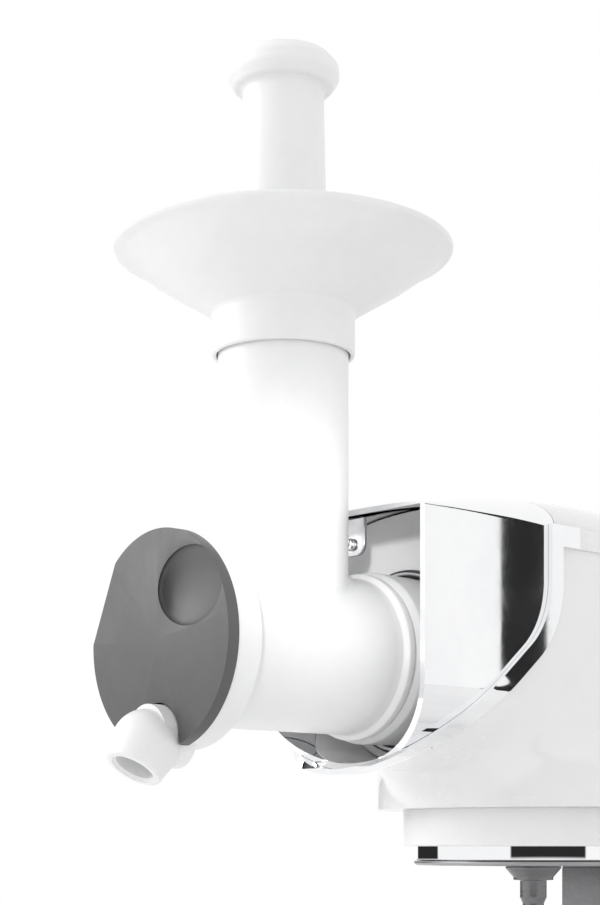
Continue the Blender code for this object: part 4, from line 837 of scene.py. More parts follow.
def make_tab():
    """Hinge tab that hangs from the cowl's roof, with its domed screw."""
    low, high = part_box("flap_hinge_tab")
    half = (high.x - low.x) / 2
    centre = (high.x + low.x) / 2
    corner = half * 0.66
    outline = [(-half, high.z), (-half, low.z + corner)]
    outline += arc((corner - half, corner + low.z), corner, math.pi, 1.5 * math.pi, 12)
    outline += arc((half - corner, corner + low.z), corner, 1.5 * math.pi, math.tau, 12)
    outline += [(half, high.z)]
    place = Matrix(((1, 0, 0, centre), (0, 0, -1, (low.y + high.y) / 2), (0, 1, 0, 0), (0, 0, 0, 1)))
    tab = outline_piece("tab_plate", outline, high.y - low.y, place, 0.0004)
    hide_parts("flap_hinge_tab")
    low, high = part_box("hinge_tab_screw")
    spot = (low + high) / 2
    head_r = (high.x - low.x) / 2
    front = low.y - TUBE_Y
    shank_r = 0.0014
    profile = [
        (0.0, front + 0.009),
        (shank_r, front + 0.009),
        (shank_r, front + 0.0020),
        (head_r, front + 0.0020, 0.0003),
        (head_r, front + 0.0010, 0.0008),
        (head_r * 0.7, front, 0.0010),
        (0.0, front, 0.0),
    ]
    screw = turned("tab_screw", profile, along_y(spot.z, spot.x), 0.0002, steps=48)
    for turn in (0.35, 0.35 + math.pi / 2):
        slot = box_piece("slot", (-head_r * 0.62, -0.0008, -0.00035), (head_r * 0.62, 0.0012, 0.00035))
        shift = Matrix.Translation((spot.x, low.y, spot.z))
        screw = boolean(screw, moved(slot, Matrix.Rotation(turn, 4, "Y"), shift))
    screw.name = "tab_screw"
    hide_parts("hinge_tab_screw")
    return tab, screw


# ---- Planetary drive ----


def make_planetary():
    """Guard ring, turning band, bottom plate, tool spindle and accessory block."""
    place = upright(0.0, PLANET_Y)
    low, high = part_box("planetary_guard_ring")
    outer = high.x
    inner = outer - 0.003
    profile = [
        (outer, high.z, 0.0003),
        (outer, low.z + 0.0008, 0.0012),
        (outer - 0.0008, low.z, 0.0008),
        (inner + 0.0004, low.z, 0.0006),
        (inner, low.z + 0.0006, 0.0006),
        (inner, high.z, 0.0003),
    ]
    guard = turned("guard_skirt", profile, place, closed=True, steps=192)
    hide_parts("planetary_guard_ring")
    low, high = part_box("planet_carrier")
    band_r = high.x
    top = HEAD_DATUM + 0.0035
    profile = [
        (0.0, high.z, 0.0),
        (0.0048, high.z, 0.0006),
        (0.0048, top, 0.0010),
        (band_r - 0.0004, top, 0.0008),
        (band_r, top - 0.0008, 0.0006),
        (band_r, low.z + 0.0006, 0.0005),
        (band_r - 0.0006, low.z, 0.0005),
        (0.0, low.z, 0.0),
    ]
    carrier = turned("carrier_band", profile, place, steps=192)
    spindle = middle("tool_spindle")
    hole_r = 0.0057
    tool_place = upright(spindle.x, spindle.y)
    carrier = boolean(carrier, rod("hole", hole_r, 0.3, 0.1, tool_place, 48))
    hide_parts("planet_carrier")
    low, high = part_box("planet_bottom_plate")
    plate_r = high.x
    profile = [
        (0.0, high.z, 0.0),
        (plate_r, high.z, 0.0004),
        (plate_r, low.z + 0.0010, 0.0006),
        (plate_r - 0.0012, low.z, 0.0006),
        (plate_r - 0.0060, low.z, 0.0006),
        (plate_r - 0.0068, low.z + 0.0005, 0.0006),
        (0.0, low.z + 0.0005, 0.0),
    ]
    plate = turned("lower_plate", profile, place, steps=192)
    plate = boolean(plate, rod("hole", hole_r, 0.3, 0.1, tool_place, 48))
    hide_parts("planet_bottom_plate")
    low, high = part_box("tool_spindle")
    cone_r = (high.x - low.x) / 2
    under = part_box("planet_bottom_plate")[0].z - 0.0003
    cone_low = under - 0.0055
    shaft_r = 0.0066
    profile = [
        (0.0, high.z, 0.0),
        (shaft_r * 0.8, high.z, 0.0004),
        (shaft_r * 0.8, under, 0.0003),
        (cone_r, under, 0.0005),
        (cone_r, under - 0.0010, 0.0006),
        (cone_r * 0.72, cone_low, 0.0006),
        (cone_r * 0.72, cone_low - 0.0014, 0.0004),
        (shaft_r, cone_low - 0.0014, 0.0006),
        (shaft_r, cone_low - 0.0100, 0.0006),
        (shaft_r * 0.8, cone_low - 0.0130, 0.0008),
        (shaft_r * 0.8, cone_low - 0.0165, 0.0003),
        (shaft_r * 0.66, cone_low - 0.0172, 0.0003),
        (shaft_r * 0.66, cone_low - 0.0192, 0.0003),
        (shaft_r * 0.8, cone_low - 0.0199, 0.0003),
        (shaft_r * 0.8, low.z + 0.0012, 0.0008),
        (shaft_r * 0.62, low.z, 0.0008),
        (0.0, low.z, 0.0),
    ]
    tool = turned("tool_shaft", profile, tool_place, steps=72)
    slot = box_piece("slot", (-0.0022, -0.02, low.z - 0.01), (0.0022, 0.02, low.z + 0.0065))
    shift = Matrix.Translation((spindle.x, spindle.y, 0.0))
    tool = boolean(tool, moved(slot, Matrix.Rotation(0.6, 4, "Z"), shift))
    tool = bevelled(tool, 0.0003, 2, 50)
    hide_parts("tool_spindle")
    low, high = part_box("scraper_socket")
    socket = box_piece("socket_block", low, high, 0.0016, 4)
    centre = (low + high) / 2
    mouth = rod("bore", 0.0062, 0.0, -0.05, upright(centre.x, centre.y, low.z + 0.012), 48)
    socket = boolean(socket, mouth)
    socket = boolean(socket, rod("cross", 0.0022, 0.03, -0.03, along_x(centre.y, low.z + 0.008), 32))
    socket.name = "socket_block"
    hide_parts("scraper_socket")
    return guard, carrier, plate, tool, socket


# ---- Stand ----


def rounded(low, high, radius, count=12):
    points = []
    corners = (
        ((low[0] + radius, low[1] + radius), math.pi),
        ((high[0] - radius, low[1] + radius), 1.5 * math.pi),
        ((high[0] - radius, high[1] - radius), 0.0),
        ((low[0] + radius, high[1] - radius), 0.5 * math.pi),
    )
    for centre, start in corners:
        points += arc(centre, radius, start, start + math.pi / 2, count)
    return points


def base_outline(inset):
    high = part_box("base_housing")[1]
    width = high.x - inset
    rear = high.y - inset
    corner = 0.030
    points = arc((0.0, PLANET_Y), width, math.pi, math.tau, 96)
    points += arc((width - corner, rear - corner), corner, 0.0, math.pi / 2, 16)
    points += arc((corner - width, rear - corner), corner, math.pi / 2, math.pi, 16)
    return points


def rim_edges(bm, height, side):
    """Edges between two faces that lie at the top (side 1) or bottom (side -1) height."""
    found = []
    for edge in bm.edges:
        level = all((vert.co.z - height) * side > -0.0005 for vert in edge.verts)
        if level and len(edge.link_faces) == 2:
            found.append(edge)
    return found


def rolled(bm, edges, width, segments):
    bmesh.ops.bevel(
        bm, geom=edges, offset=width, segments=segments, profile=0.5, affect="EDGES", clamp_overlap=True
    )


def make_base():
    """Base housing with a softly rolled edge, its bottom plate, seat ring and feet."""
    low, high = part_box("base_housing")
    place = upright(0.0, 0.0, (low.z + high.z) / 2)
    base = outline_piece("base_shell", base_outline(0.0), high.z - low.z, place)
    with editing(base) as bm:
        rolled(bm, rim_edges(bm, high.z, 1), 0.0095, 10)
        rolled(bm, rim_edges(bm, low.z, -1), 0.0040, 6)
    inner_high = high.z - 0.003
    place = upright(0.0, 0.0, (inner_high + low.z - SPARE) / 2)
    inner = outline_piece("inner", base_outline(0.0085), inner_high - low.z + SPARE, place)
    base = boolean(base, inner)
    base.name = "base_shell"
    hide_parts("base_housing")
    low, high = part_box("base_bottom_plate")
    place = upright(0.0, 0.0, (low.z + high.z) / 2)
    plate = outline_piece("base_floor", base_outline(0.0088), high.z - low.z, place, 0.0005)
    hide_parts("base_bottom_plate")
    low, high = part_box("bowl_seat_ring")
    profile = [
        (0.055, low.z),
        (0.066, low.z),
        (0.0635, high.z, 0.0012),
        (0.0622, high.z, 0.0010),
        (0.0560, high.z, 0.0006),
        (0.055, high.z - 0.0006, 0.0006),
    ]
    seat = turned("seat_ring", profile, upright(0.0, PLANET_Y), 0.0004, closed=True, steps=144)
    for turn in range(3):
        notch = box_piece("notch", (-0.007, -0.070, low.z + 0.0012), (0.007, -0.060, high.z + SPARE))
        notch = moved(notch, Matrix.Rotation(turn * math.tau / 3 + 0.4, 4, "Z"), upright(0.0, PLANET_Y))
        seat = boolean(seat, notch)
    seat.name = "seat_ring"
    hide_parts("bowl_seat_ring")
    feet = []
    for corner in ("front_left", "front_right", "rear_left", "rear_right"):
        low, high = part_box(f"foot_{corner}")
        spot = (low + high) / 2
        radius = (high.x - low.x) / 2
        profile = [
            (0.0, high.z, 0.0),
            (radius * 0.86, high.z, 0.0003),
            (radius * 0.90, high.z - 0.0010, 0.0006),
            (radius, low.z + 0.0018, 0.0010),
            (radius - 0.0012, low.z, 0.0012),
            (radius - 0.0036, low.z, 0.0006),
            (radius - 0.0046, low.z + 0.0010, 0.0008),
            (0.0, low.z + 0.0010, 0.0),
        ]
        foot = turned(f"{corner}_foot", profile, upright(spot.x, spot.y), steps=56)
        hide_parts(f"foot_{corner}")
        feet.append(foot)
    return base, plate, seat, feet


def make_column():
    """Upright column with soft edges and the hinge tongue on top."""
    low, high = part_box("column")
    top = HEAD_DATUM + 0.001
    pin = middle("hinge_pin")
    half = high.x
    outline = rounded((-half, low.y), (half, high.y - 0.0001), 0.014, 14)
    column = outline_piece("column_shell", outline, top - low.z, upright(0.0, 0.0, (top + low.z) / 2))
    with editing(column) as bm:
        rolled(bm, rim_edges(bm, top, 1), 0.0070, 8)
    wall = 0.004
    inside = rounded((wall - half, low.y + wall), (half - wall, high.y - wall), 0.010, 8)
    place = upright(0.0, 0.0, (top - 0.007 + low.z) / 2)
    column = boolean(column, outline_piece("inside", inside, top - low.z - 0.001, place))
    foot = top - 0.0015
    eye_r = 0.021
    tongue_outline = [(pin.y + eye_r, foot)] + arc((pin.y, pin.z), eye_r, 0.0, math.pi, 48)
    tongue_outline += [(pin.y - eye_r, foot)]
    across = Matrix(((0, 0, 1, 0), (1, 0, 0, 0), (0, 1, 0, 0), (0, 0, 0, 1)))
    tongue = outline_piece("tongue", tongue_outline, 0.048, across, 0.0015)
    column = boolean(column, tongue, "UNION")
    column = boolean(column, rod("bore", 0.0054, 0.08, -0.08, along_x(pin.y, pin.z), 48))
    for height in (KNOB_Z, LEVER_Z):
        hole = rod("hole", 0.0034, half + SPARE, half - SPARE, along_x(pin.y, height), 32)
        column = boolean(column, hole)
    column.name = "column_shell"
    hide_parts("column")
    low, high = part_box("cable_gland")
    front = low.y - TUBE_Y
    rear = high.y - TUBE_Y
    bore_r = 0.0045
    profile = [
        (bore_r, front),
        (0.0080, front),
        (0.0080, rear - 0.0012, 0.0008),
        (0.0064, rear, 0.0008),
        (bore_r, rear, 0.0004),
    ]
    place = along_y((low.z + high.z) / 2)
    gland = turned("gland_ring", profile, place, 0.0003, closed=True, steps=56)
    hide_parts("cable_gland")
    return column, gland


def rib_tree():
    """Grip ribs set round a knob, as one tree with named inputs."""
    tree = bpy.data.node_groups.new("grip_ribs", "GeometryNodeTree")
    kinds = {"Geometry": "Geometry", "Count": "Int", "Radius": "Float", "Rib radius": "Float", "Depth": "Float"}
    for label, kind in {**kinds, "Material": "Material"}.items():
        tree.interface.new_socket(label, in_out="INPUT", socket_type=f"NodeSocket{kind}")
    tree.interface.new_socket("Geometry", in_out="OUTPUT", socket_type="NodeSocketGeometry")
    graph = Graph(tree)
    given = graph.add("NodeGroupInput").outputs
    ring = graph.add("GeometryNodeMeshCircle", {"Vertices": given["Count"], "Radius": given["Radius"]})
    rib = graph.add("GeometryNodeMeshUVSphere", {"Segments": 12, "Rings": 10, "Radius": 1.0})
    wired = {0: given["Rib radius"], 1: given["Rib radius"], 2: given["Depth"]}
    scale = graph.add("ShaderNodeCombineXYZ", wired)
    wired = {"Points": ring.outputs["Mesh"], "Instance": rib.outputs["Mesh"], "Scale": scale.outputs[0]}
    spread = graph.add("GeometryNodeInstanceOnPoints", wired)
    real = graph.add("GeometryNodeRealizeInstances", {"Geometry": spread.outputs["Instances"]})
    smooth = graph.add("GeometryNodeSetShadeSmooth", {"Geometry": real.outputs["Geometry"]})
    merge = graph.add("GeometryNodeJoinGeometry", {"Geometry": smooth.outputs["Geometry"]})
    tree.links.new(given["Geometry"], merge.inputs["Geometry"])
    wired = {"Geometry": merge.outputs["Geometry"], "Material": given["Material"]}
    paint = graph.add("GeometryNodeSetMaterial", wired)
    graph.add("NodeGroupOutput", {"Geometry": paint.outputs["Geometry"]})
    return tree


def make_controls(finish):
    """Speed knob with grip ribs and a raised pointer, and the head release lever."""
    low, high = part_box("speed_knob")
    centre = (low + high) / 2
    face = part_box("column")[1].x + 0.0003
    radius = (high.y - low.y) / 2 - 0.0008
    profile = [
        (0.0, high.x, 0.0),
        (radius - 0.0050, high.x, 0.0012),
        (radius - 0.0030, high.x - 0.0010, 0.0020),
        (radius - 0.0012, high.x - 0.0032, 0.0020),
        (radius, face + 0.0006, 0.0008),
        (radius - 0.0006, face, 0.0005),
        (0.0030, face, 0.0002),
        (0.0030, low.x, 0.0003),
        (0.0, low.x, 0.0),
    ]
    knob = turned("knob_cap", profile, Matrix.Identity(4), steps=96)
    pointer_high = (radius - 0.0036, 0.0009, high.x - 0.0002)
    knob = boolean(knob, box_piece("pointer", (0.0045, -0.0009, high.x - 0.0020), pointer_high, 0.0003))
    ribs = knob.modifiers.new("ribs", "NODES")
    tree = rib_tree()
    ribs.node_group = tree
    values = {"Count": 36, "Radius": radius - 0.0004, "Rib radius": 0.0011, "Depth": 0.0055}
    values["Material"] = finish
    for item in tree.interface.items_tree:
        if item.in_out == "INPUT" and item.name in values:
            ribs[item.identifier] = values[item.name]
    rib_z = face + 0.0062
    moved(knob, upright(0.0, 0.0, -rib_z)).update_tag()
    knob = moved(settled(knob), upright(0.0, 0.0, rib_z), along_x(centre.y, centre.z))
    knob.name = "knob_cap"
    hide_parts("speed_knob")
    low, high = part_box("head_release_lever")
    pivot_z = (low.z + high.z) / 2
    hub_r = (high.z - low.z) / 2
    pivot_y = high.y - hub_r
    tip_r = 0.006
    outline = arc((pivot_y, pivot_z), hub_r, -math.pi / 2, math.pi / 2, 40)
    outline += arc((low.y + tip_r, pivot_z), tip_r, math.pi / 2, 1.5 * math.pi, 28)
    across = Matrix(((0, 0, 1, (face + high.x) / 2), (1, 0, 0, 0), (0, 1, 0, 0), (0, 0, 0, 1)))
    lever = outline_piece("lever_arm", outline, high.x - face, across, 0.0014, 4)
    pin = rod("pin", 0.0030, face + 0.002, low.x, along_x(pivot_y, pivot_z), 32)
    lever = boolean(lever, pin, "UNION")
    ball_r = 0.012
    dish = arc((0.0, 0.0), ball_r, -math.pi / 2, math.pi / 2, 60)
    place = upright(high.x + ball_r - 0.0016, low.y + 0.0085, pivot_z)
    dish = turned("dish", dish, place, 0.0, steps=64)
    lever = boolean(lever, dish)
    lever.name = "lever_arm"
    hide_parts("head_release_lever")
    return knob, lever


# ---- Finishes ----


class Graph:
    """A node tree with short calls for adding and wiring nodes."""

    def __init__(self, tree):
        self.tree = tree

    def add(self, kind, wired=None, **settings):
        node = self.tree.nodes.new(kind)
        for key, value in settings.items():
            setattr(node, key, value)
        for socket, value in (wired or {}).items():
            target = node.inputs[socket]
            if isinstance(value, bpy.types.NodeSocket):
                self.tree.links.new(value, target)
            else:
                target.default_value = value
        return node

    def math(self, operation, first, second=0.0, clamp=False):
        node = self.add("ShaderNodeMath", {0: first, 1: second}, operation=operation, use_clamp=clamp)
        return node.outputs[0]

    def noise(self, vector, scale, detail, **more):
        wired = {"Vector": vector, "Scale": scale, "Detail": detail, **more}
        return self.add("ShaderNodeTexNoise", wired).outputs[0]

    def ramp(self, value, low, high, to_low=0.0, to_high=1.0):
        wired = {"Value": value, "From Min": low, "From Max": high, "To Min": to_low, "To Max": to_high}
        return self.add("ShaderNodeMapRange", wired, interpolation_type="SMOOTHSTEP").outputs["Result"]


def effect(name, inputs, output, build):
    """A shader group; build gets the graph and the group's input sockets, and returns the output value."""
    tree = bpy.data.node_groups.new(name, "ShaderNodeTree")
    for label, value in inputs.items():
        kind = "NodeSocketVector" if isinstance(value, tuple) else "NodeSocketFloat"
        socket = tree.interface.new_socket(label, in_out="INPUT", socket_type=kind)
        socket.default_value = value
    tree.interface.new_socket(output, in_out="OUTPUT", socket_type="NodeSocketFloat")
    graph = Graph(tree)
    given = graph.add("NodeGroupInput").outputs
    graph.add("NodeGroupOutput", {output: build(graph, given)})
    return tree


def build_grain(graph, given):
    spot = graph.add("ShaderNodeTexCoord").outputs["Object"]
    coarse = graph.noise(spot, given["Scale"], 3.0, Roughness=0.6)
    cells = graph.add("ShaderNodeTexVoronoi", {"Vector": spot, "Scale": given["Scale"]}, feature="SMOOTH_F1")
    pits = graph.math("MULTIPLY", cells.outputs["Distance"], given["Pitting"])
    return graph.math("ADD", coarse, pits)


def build_marks(graph, given):
    spot = graph.add("ShaderNodeTexCoord").outputs["Object"]
    broad = graph.noise(spot, given["Scale"], 4.0, Distortion=0.6)
    fine_scale = graph.math("MULTIPLY", given["Scale"], 9.0)
    fine = graph.noise(spot, fine_scale, 3.0)
    total = graph.math("ADD", graph.math("MULTIPLY", broad, 0.75), graph.math("MULTIPLY", fine, 0.25))
    return graph.ramp(total, 0.36, 0.64, given["Low"], given["High"])


def build_dust(graph, given):
    place = graph.add("ShaderNodeTexCoord").outputs
    lift = graph.add("ShaderNodeSeparateXYZ", {0: place["Normal"]}).outputs[2]
    facing = graph.ramp(lift, 0.55, 0.98)
    specks = graph.noise(place["Object"], given["Scale"], 6.0, Roughness=0.7)
    spread = graph.ramp(specks, 0.42, 0.70)
    return graph.math("MULTIPLY", graph.math("MULTIPLY", facing, spread), given["Amount"], clamp=True)


def build_wear(graph, given):
    edge = graph.ramp(graph.add("ShaderNodeNewGeometry").outputs["Pointiness"], 0.515, 0.56)
    spot = graph.add("ShaderNodeTexCoord").outputs["Object"]
    patch = graph.noise(spot, given["Scale"], 4.0)
    broken = graph.ramp(patch, 0.38, 0.62, 0.25, 1.0)
    return graph.math("MULTIPLY", graph.math("MULTIPLY", edge, broken), given["Amount"], clamp=True)


def build_brushing(graph, given):
    spot = graph.add("ShaderNodeTexCoord").outputs["Object"]
    drawn = graph.add("ShaderNodeVectorMath", {0: spot, 1: given["Stretch"]}, operation="MULTIPLY").outputs[0]
    return graph.ramp(graph.noise(drawn, 1.0, 4.0, Roughness=0.65), 0.30, 0.70)


def build_turning(graph, given):
    """Fine rings round an upright or level axis, from the distance to it."""
    spot = graph.add("ShaderNodeTexCoord").outputs["Object"]
    moved = graph.add("ShaderNodeVectorMath", {0: spot, 1: given["Centre"]}, operation="SUBTRACT").outputs[0]
    kept = graph.add("ShaderNodeVectorMath", {0: moved, 1: given["Plane"]}, operation="MULTIPLY").outputs[0]
    reach = graph.add("ShaderNodeVectorMath", {0: kept}, operation="LENGTH").outputs["Value"]
    ring = graph.math("MULTIPLY", reach, given["Scale"])
    wired = {"W": ring, "Scale": 1.0, "Detail": 3.0}
    return graph.add("ShaderNodeTexNoise", wired, noise_dimensions="1D").outputs[0]


GRAIN = effect("moulded_grain", {"Scale": 900.0, "Pitting": 0.4}, "Height", build_grain)
MARKS = effect("handling_marks", {"Scale": 22.0, "Low": 0.3, "High": 0.4}, "Value", build_marks)
DUST = effect("settled_dust", {"Scale": 60.0, "Amount": 0.2}, "Mask", build_dust)
WEAR = effect("edge_wear", {"Scale": 120.0, "Amount": 0.5}, "Mask", build_wear)
BRUSHING = effect("brushed_lines", {"Stretch": (40.0, 40.0, 2400.0)}, "Value", build_brushing)
RINGS = {"Centre": (0.0, 0.0, 0.0), "Plane": (1.0, 1.0, 0.0), "Scale": 2600.0}
TURNING = effect("turned_rings", RINGS, "Value", build_turning)


def put(graph, tree, output, **values):
    node = graph.add("ShaderNodeGroup", node_tree=tree)
    for label, value in values.items():
        node.inputs[label.replace("_", " ")].default_value = value
    return node.outputs[output]


def blend_colour(graph, mask, first, second):
    node = graph.add("ShaderNodeMix", data_type="RGBA")
    node.inputs["Factor"].default_value = 0.0
    graph.tree.links.new(mask, node.inputs["Factor"])
    for index, value in ((6, first), (7, second)):
        if isinstance(value, bpy.types.NodeSocket):
            graph.tree.links.new(value, node.inputs[index])
        else:
            node.inputs[index].default_value = (*value, 1.0)
    return node.outputs[2]


def material(name, fixed):
    """A material whose shader has these plain values; more is wired in by its maker."""
    mat = bpy.data.materials.new(name)
    mat.use_nodes = True
    mat.node_tree.nodes.clear()
    graph = Graph(mat.node_tree)
    shader = graph.add("ShaderNodeBsdfPrincipled", fixed)
    graph.add("ShaderNodeOutputMaterial", {"Surface": shader.outputs[0]})
    return mat, graph, shader


def relief(graph, shader, height, strength, distance):
    bump = graph.add("ShaderNodeBump", {"Height": height, "Strength": strength, "Distance": distance})
    graph.tree.links.new(bump.outputs[0], shader.inputs["Normal"])


def moulded(name, colour, marks, grain, fixed, dust=0.12, wear=0.10, lighter=1.25):
    """Moulded plastic or rubber: grained skin, handling marks, faint dust and lighter edges."""
    mat, graph, shader = material(name, fixed)
    low, high, marks_scale = marks
    rough = put(graph, MARKS, "Value", Scale=marks_scale, Low=low, High=high)
    graph.tree.links.new(rough, shader.inputs["Roughness"])
    tone = put(graph, MARKS, "Value", Scale=marks_scale * 0.7, Low=0.0, High=1.0)
    deep = tuple(value * 0.965 for value in colour)
    base = blend_colour(graph, tone, deep, colour)
    worn = put(graph, WEAR, "Mask", Scale=140.0, Amount=wear)
    light = tuple(min(0.93, value * lighter + 0.01) for value in colour)
    base = blend_colour(graph, worn, base, light)
    settled_mask = put(graph, DUST, "Mask", Scale=75.0, Amount=dust)
    base = blend_colour(graph, settled_mask, base, (0.62, 0.61, 0.59))
    graph.tree.links.new(base, shader.inputs["Base Color"])
    scale, pitting, strength, distance = grain
    relief(graph, shader, put(graph, GRAIN, "Height", Scale=scale, Pitting=pitting), strength, distance)
    return mat


def machined(name, colour, low, high, stretch=None, rings=None, strength=0.12, fixed=None, dust=0.0):
    """Metal with drawn or turned tool marks, brighter edges and uneven polish."""
    values = {"Metallic": 1.0}
    values.update(fixed or {})
    mat, graph, shader = material(name, values)
    if rings:
        lines = put(graph, TURNING, "Value", Centre=rings[0], Plane=rings[1], Scale=rings[2])
    else:
        lines = put(graph, BRUSHING, "Value", Stretch=stretch)
    polish = put(graph, MARKS, "Value", Scale=35.0, Low=low, High=high)
    rough = graph.math("ADD", polish, graph.math("MULTIPLY", lines, (high - low) * 0.6))
    graph.tree.links.new(rough, shader.inputs["Roughness"])
    dark = tuple(value * 0.90 for value in colour)
    base = blend_colour(graph, lines, dark, colour)
    worn = put(graph, WEAR, "Mask", Scale=200.0, Amount=0.5)
    base = blend_colour(graph, worn, base, tuple(min(0.95, value * 1.2) for value in colour))
    if dust:
        settled_mask = put(graph, DUST, "Mask", Scale=90.0, Amount=dust)
        base = blend_colour(graph, settled_mask, base, (0.55, 0.54, 0.52))
    graph.tree.links.new(base, shader.inputs["Base Color"])
    relief(graph, shader, lines, strength, 0.00006)
    return mat


def chrome_finish(name, waviness):
    """Bright plating over a die casting: almost even, with faint wipe marks and a slow waviness."""
    mat, graph, shader = material(name, {"Metallic": 1.0})
    wiped = put(graph, MARKS, "Value", Scale=26.0, Low=0.012, High=0.026)
    hair = put(graph, BRUSHING, "Value", Stretch=(90.0, 1500.0, 120.0))
    rough = graph.math("ADD", wiped, graph.math("MULTIPLY", hair, 0.006))
    graph.tree.links.new(rough, shader.inputs["Roughness"])
    tone = put(graph, MARKS, "Value", Scale=14.0, Low=0.0, High=1.0)
    base = blend_colour(graph, tone, (0.90, 0.905, 0.915), (0.94, 0.943, 0.95))
    dull = put(graph, WEAR, "Mask", Scale=160.0, Amount=0.25)
    base = blend_colour(graph, dull, base, (0.86, 0.86, 0.87))
    graph.tree.links.new(base, shader.inputs["Base Color"])
    relief(graph, shader, put(graph, GRAIN, "Height", Scale=waviness, Pitting=0.0), 0.006, 0.0010)
    return mat


PLAIN = {"IOR": 1.47}
MILKY = {"Subsurface Weight": 0.04, "Subsurface Scale": 0.002}
ABOUT_PLANET = ((0.0, PLANET_Y, 0.0), (1.0, 1.0, 0.0))
ABOUT_BARREL = ((0.0, 0.0, BARREL_Z), (1.0, 0.0, 1.0))
FINISHES = {
    "white_plastic": moulded(
        "white_plastic_finish", (0.82, 0.82, 0.822), (0.34, 0.44, 24.0), (1100.0, 0.4, 0.10, 0.0002),
        {**PLAIN, "Coat Weight": 0.10, "Coat Roughness": 0.30, **MILKY}, dust=0.05, wear=0.10, lighter=1.04,
    ),
    "shell_lacquer": moulded(
        "shell_lacquer_finish", (0.83, 0.83, 0.832), (0.20, 0.29, 16.0), (420.0, 0.15, 0.05, 0.0002),
        {**PLAIN, "Coat Weight": 0.55, "Coat Roughness": 0.09}, dust=0.05, wear=0.08, lighter=1.04,
    ),
    "grey_plastic": moulded(
        "grey_plastic_finish", (0.135, 0.135, 0.138), (0.40, 0.50, 30.0), (1500.0, 0.6, 0.22, 0.00022),
        PLAIN, dust=0.05, wear=0.16, lighter=1.30,
    ),
    "panel_plastic": moulded(
        "panel_plastic_finish", (0.84, 0.84, 0.842), (0.30, 0.42, 28.0), (1200.0, 0.5, 0.14, 0.0002),
        PLAIN, dust=0.06, wear=0.10, lighter=1.1,
    ),
    "rubber": moulded(
        "rubber_finish", (0.022, 0.022, 0.023), (0.62, 0.80, 60.0), (1300.0, 0.9, 0.30, 0.0003),
        {**PLAIN, "Sheen Weight": 0.15, "Sheen Roughness": 0.5}, dust=0.35, wear=0.25, lighter=2.2,
    ),
    "gear_nylon": moulded(
        "gear_nylon_finish", (0.66, 0.64, 0.56), (0.38, 0.52, 50.0), (1600.0, 0.5, 0.15, 0.0002),
        {**PLAIN, "Subsurface Weight": 0.08, "Subsurface Scale": 0.002}, dust=0.10, wear=0.25, lighter=1.1,
    ),
    "circuit_board": moulded(
        "circuit_board_finish", (0.035, 0.16, 0.06), (0.25, 0.38, 80.0), (700.0, 0.3, 0.10, 0.0001),
        {**PLAIN, "Coat Weight": 0.4, "Coat Roughness": 0.15}, dust=0.15, wear=0.3, lighter=1.5,
    ),
    "chrome_plate": chrome_finish("chrome_plate_finish", 18.0),
    "steel": machined("steel_finish", (0.20, 0.20, 0.205), 0.24, 0.36, stretch=(60.0, 60.0, 2600.0), dust=0.05),
    "bronze": machined("bronze_finish", (0.62, 0.45, 0.22), 0.28, 0.42, rings=(*ABOUT_PLANET, 2400.0)),
}
EXTRA = {
    "turned_plate": machined(
        "turned_plate_finish", (0.42, 0.42, 0.43), 0.22, 0.36, rings=(*ABOUT_PLANET, 2200.0), strength=0.2
    ),
    "bright_steel": machined(
        "bright_steel_finish", (0.66, 0.66, 0.67), 0.20, 0.30, stretch=(60.0, 2400.0, 60.0), strength=0.1
    ),
    # Dark metal with turned rings for the hub ring, which is chrome: the dark colour is painted shade for the
    # dark crescent round the hub's opening.
    "dark_plate": machined(
        "painted_shade_plate_finish", (0.17, 0.17, 0.175), 0.16, 0.26, rings=(*ABOUT_BARREL, 2400.0), strength=0.1
    ),
    "cap_grey": moulded(
        "cap_grey_finish", (0.088, 0.088, 0.089), (0.38, 0.48, 26.0), (1500.0, 0.6, 0.16, 0.0002),
        PLAIN, dust=0.03, wear=0.12, lighter=1.3,
    ),
}


# ---- Assembly ----


def dress(item, body, slot, finish=None):
    """Give a finished piece its finish, chosen by slot unless one is given, and the body it moves with."""
    item.data.materials.clear()
    item.data.materials.append(finish or FINISHES[slot])
    for face in item.data.polygons:
        face.material_index = 0
    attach(item, body)


def carried_nodes(replaced):
    """Better finishes, by slot, for the nodes that keep their own mesh."""
    for name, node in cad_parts.items():
        if name in replaced:
            continue
        for slot in node.material_slots:
            slot.material = FINISHES[slot.material.name.split(".")[0]]


def build_all():
    dress(make_pusher(), "pusher", "white_plastic")
    dress(make_tray(), "hopper_tray", "white_plastic")
    dress(make_grinder_body(), "head", "white_plastic")
    dress(make_outlet(), "outlet", "white_plastic")
    dress(make_cap(), "outlet", "grey_plastic", EXTRA["cap_grey"])
    for piece in make_cowl():
        dress(piece, "head", "chrome_plate")
    dress(make_lower_shell(), "head", "shell_lacquer")
    cover, strips = make_top_cover()
    for piece in (cover, *strips):
        dress(piece, "head", "shell_lacquer")
    ring, panel = make_hub()
    # The chrome hub ring takes the dark finish, as painted shade at the hub's opening.
    dress(ring, "head", "chrome_plate", EXTRA["dark_plate"])
    dress(panel, "head", "panel_plastic")
    tab, screw = make_tab()
    dress(tab, "head", "steel", EXTRA["bright_steel"])
    dress(screw, "head", "steel", EXTRA["bright_steel"])
    guard, carrier, plate, tool, socket = make_planetary()
    dress(guard, "head", "white_plastic")
    dress(carrier, "planet", "chrome_plate")
    dress(plate, "planet", "steel", EXTRA["turned_plate"])
    dress(tool, "tool_spindle", "steel")
    dress(socket, "planet", "steel")
    base, floor_plate, seat, feet = make_base()
    dress(base, "stand", "shell_lacquer")
    dress(floor_plate, "stand", "grey_plastic")
    dress(seat, "stand", "steel")
    for foot in feet:
        dress(foot, "stand", "rubber")
    column, gland = make_column()
    dress(column, "stand", "shell_lacquer")
    dress(gland, "stand", "rubber")
    knob, lever = make_controls(FINISHES["grey_plastic"])
    dress(knob, "speed_knob", "grey_plastic")
    dress(lever, "head_release_lever", "grey_plastic")


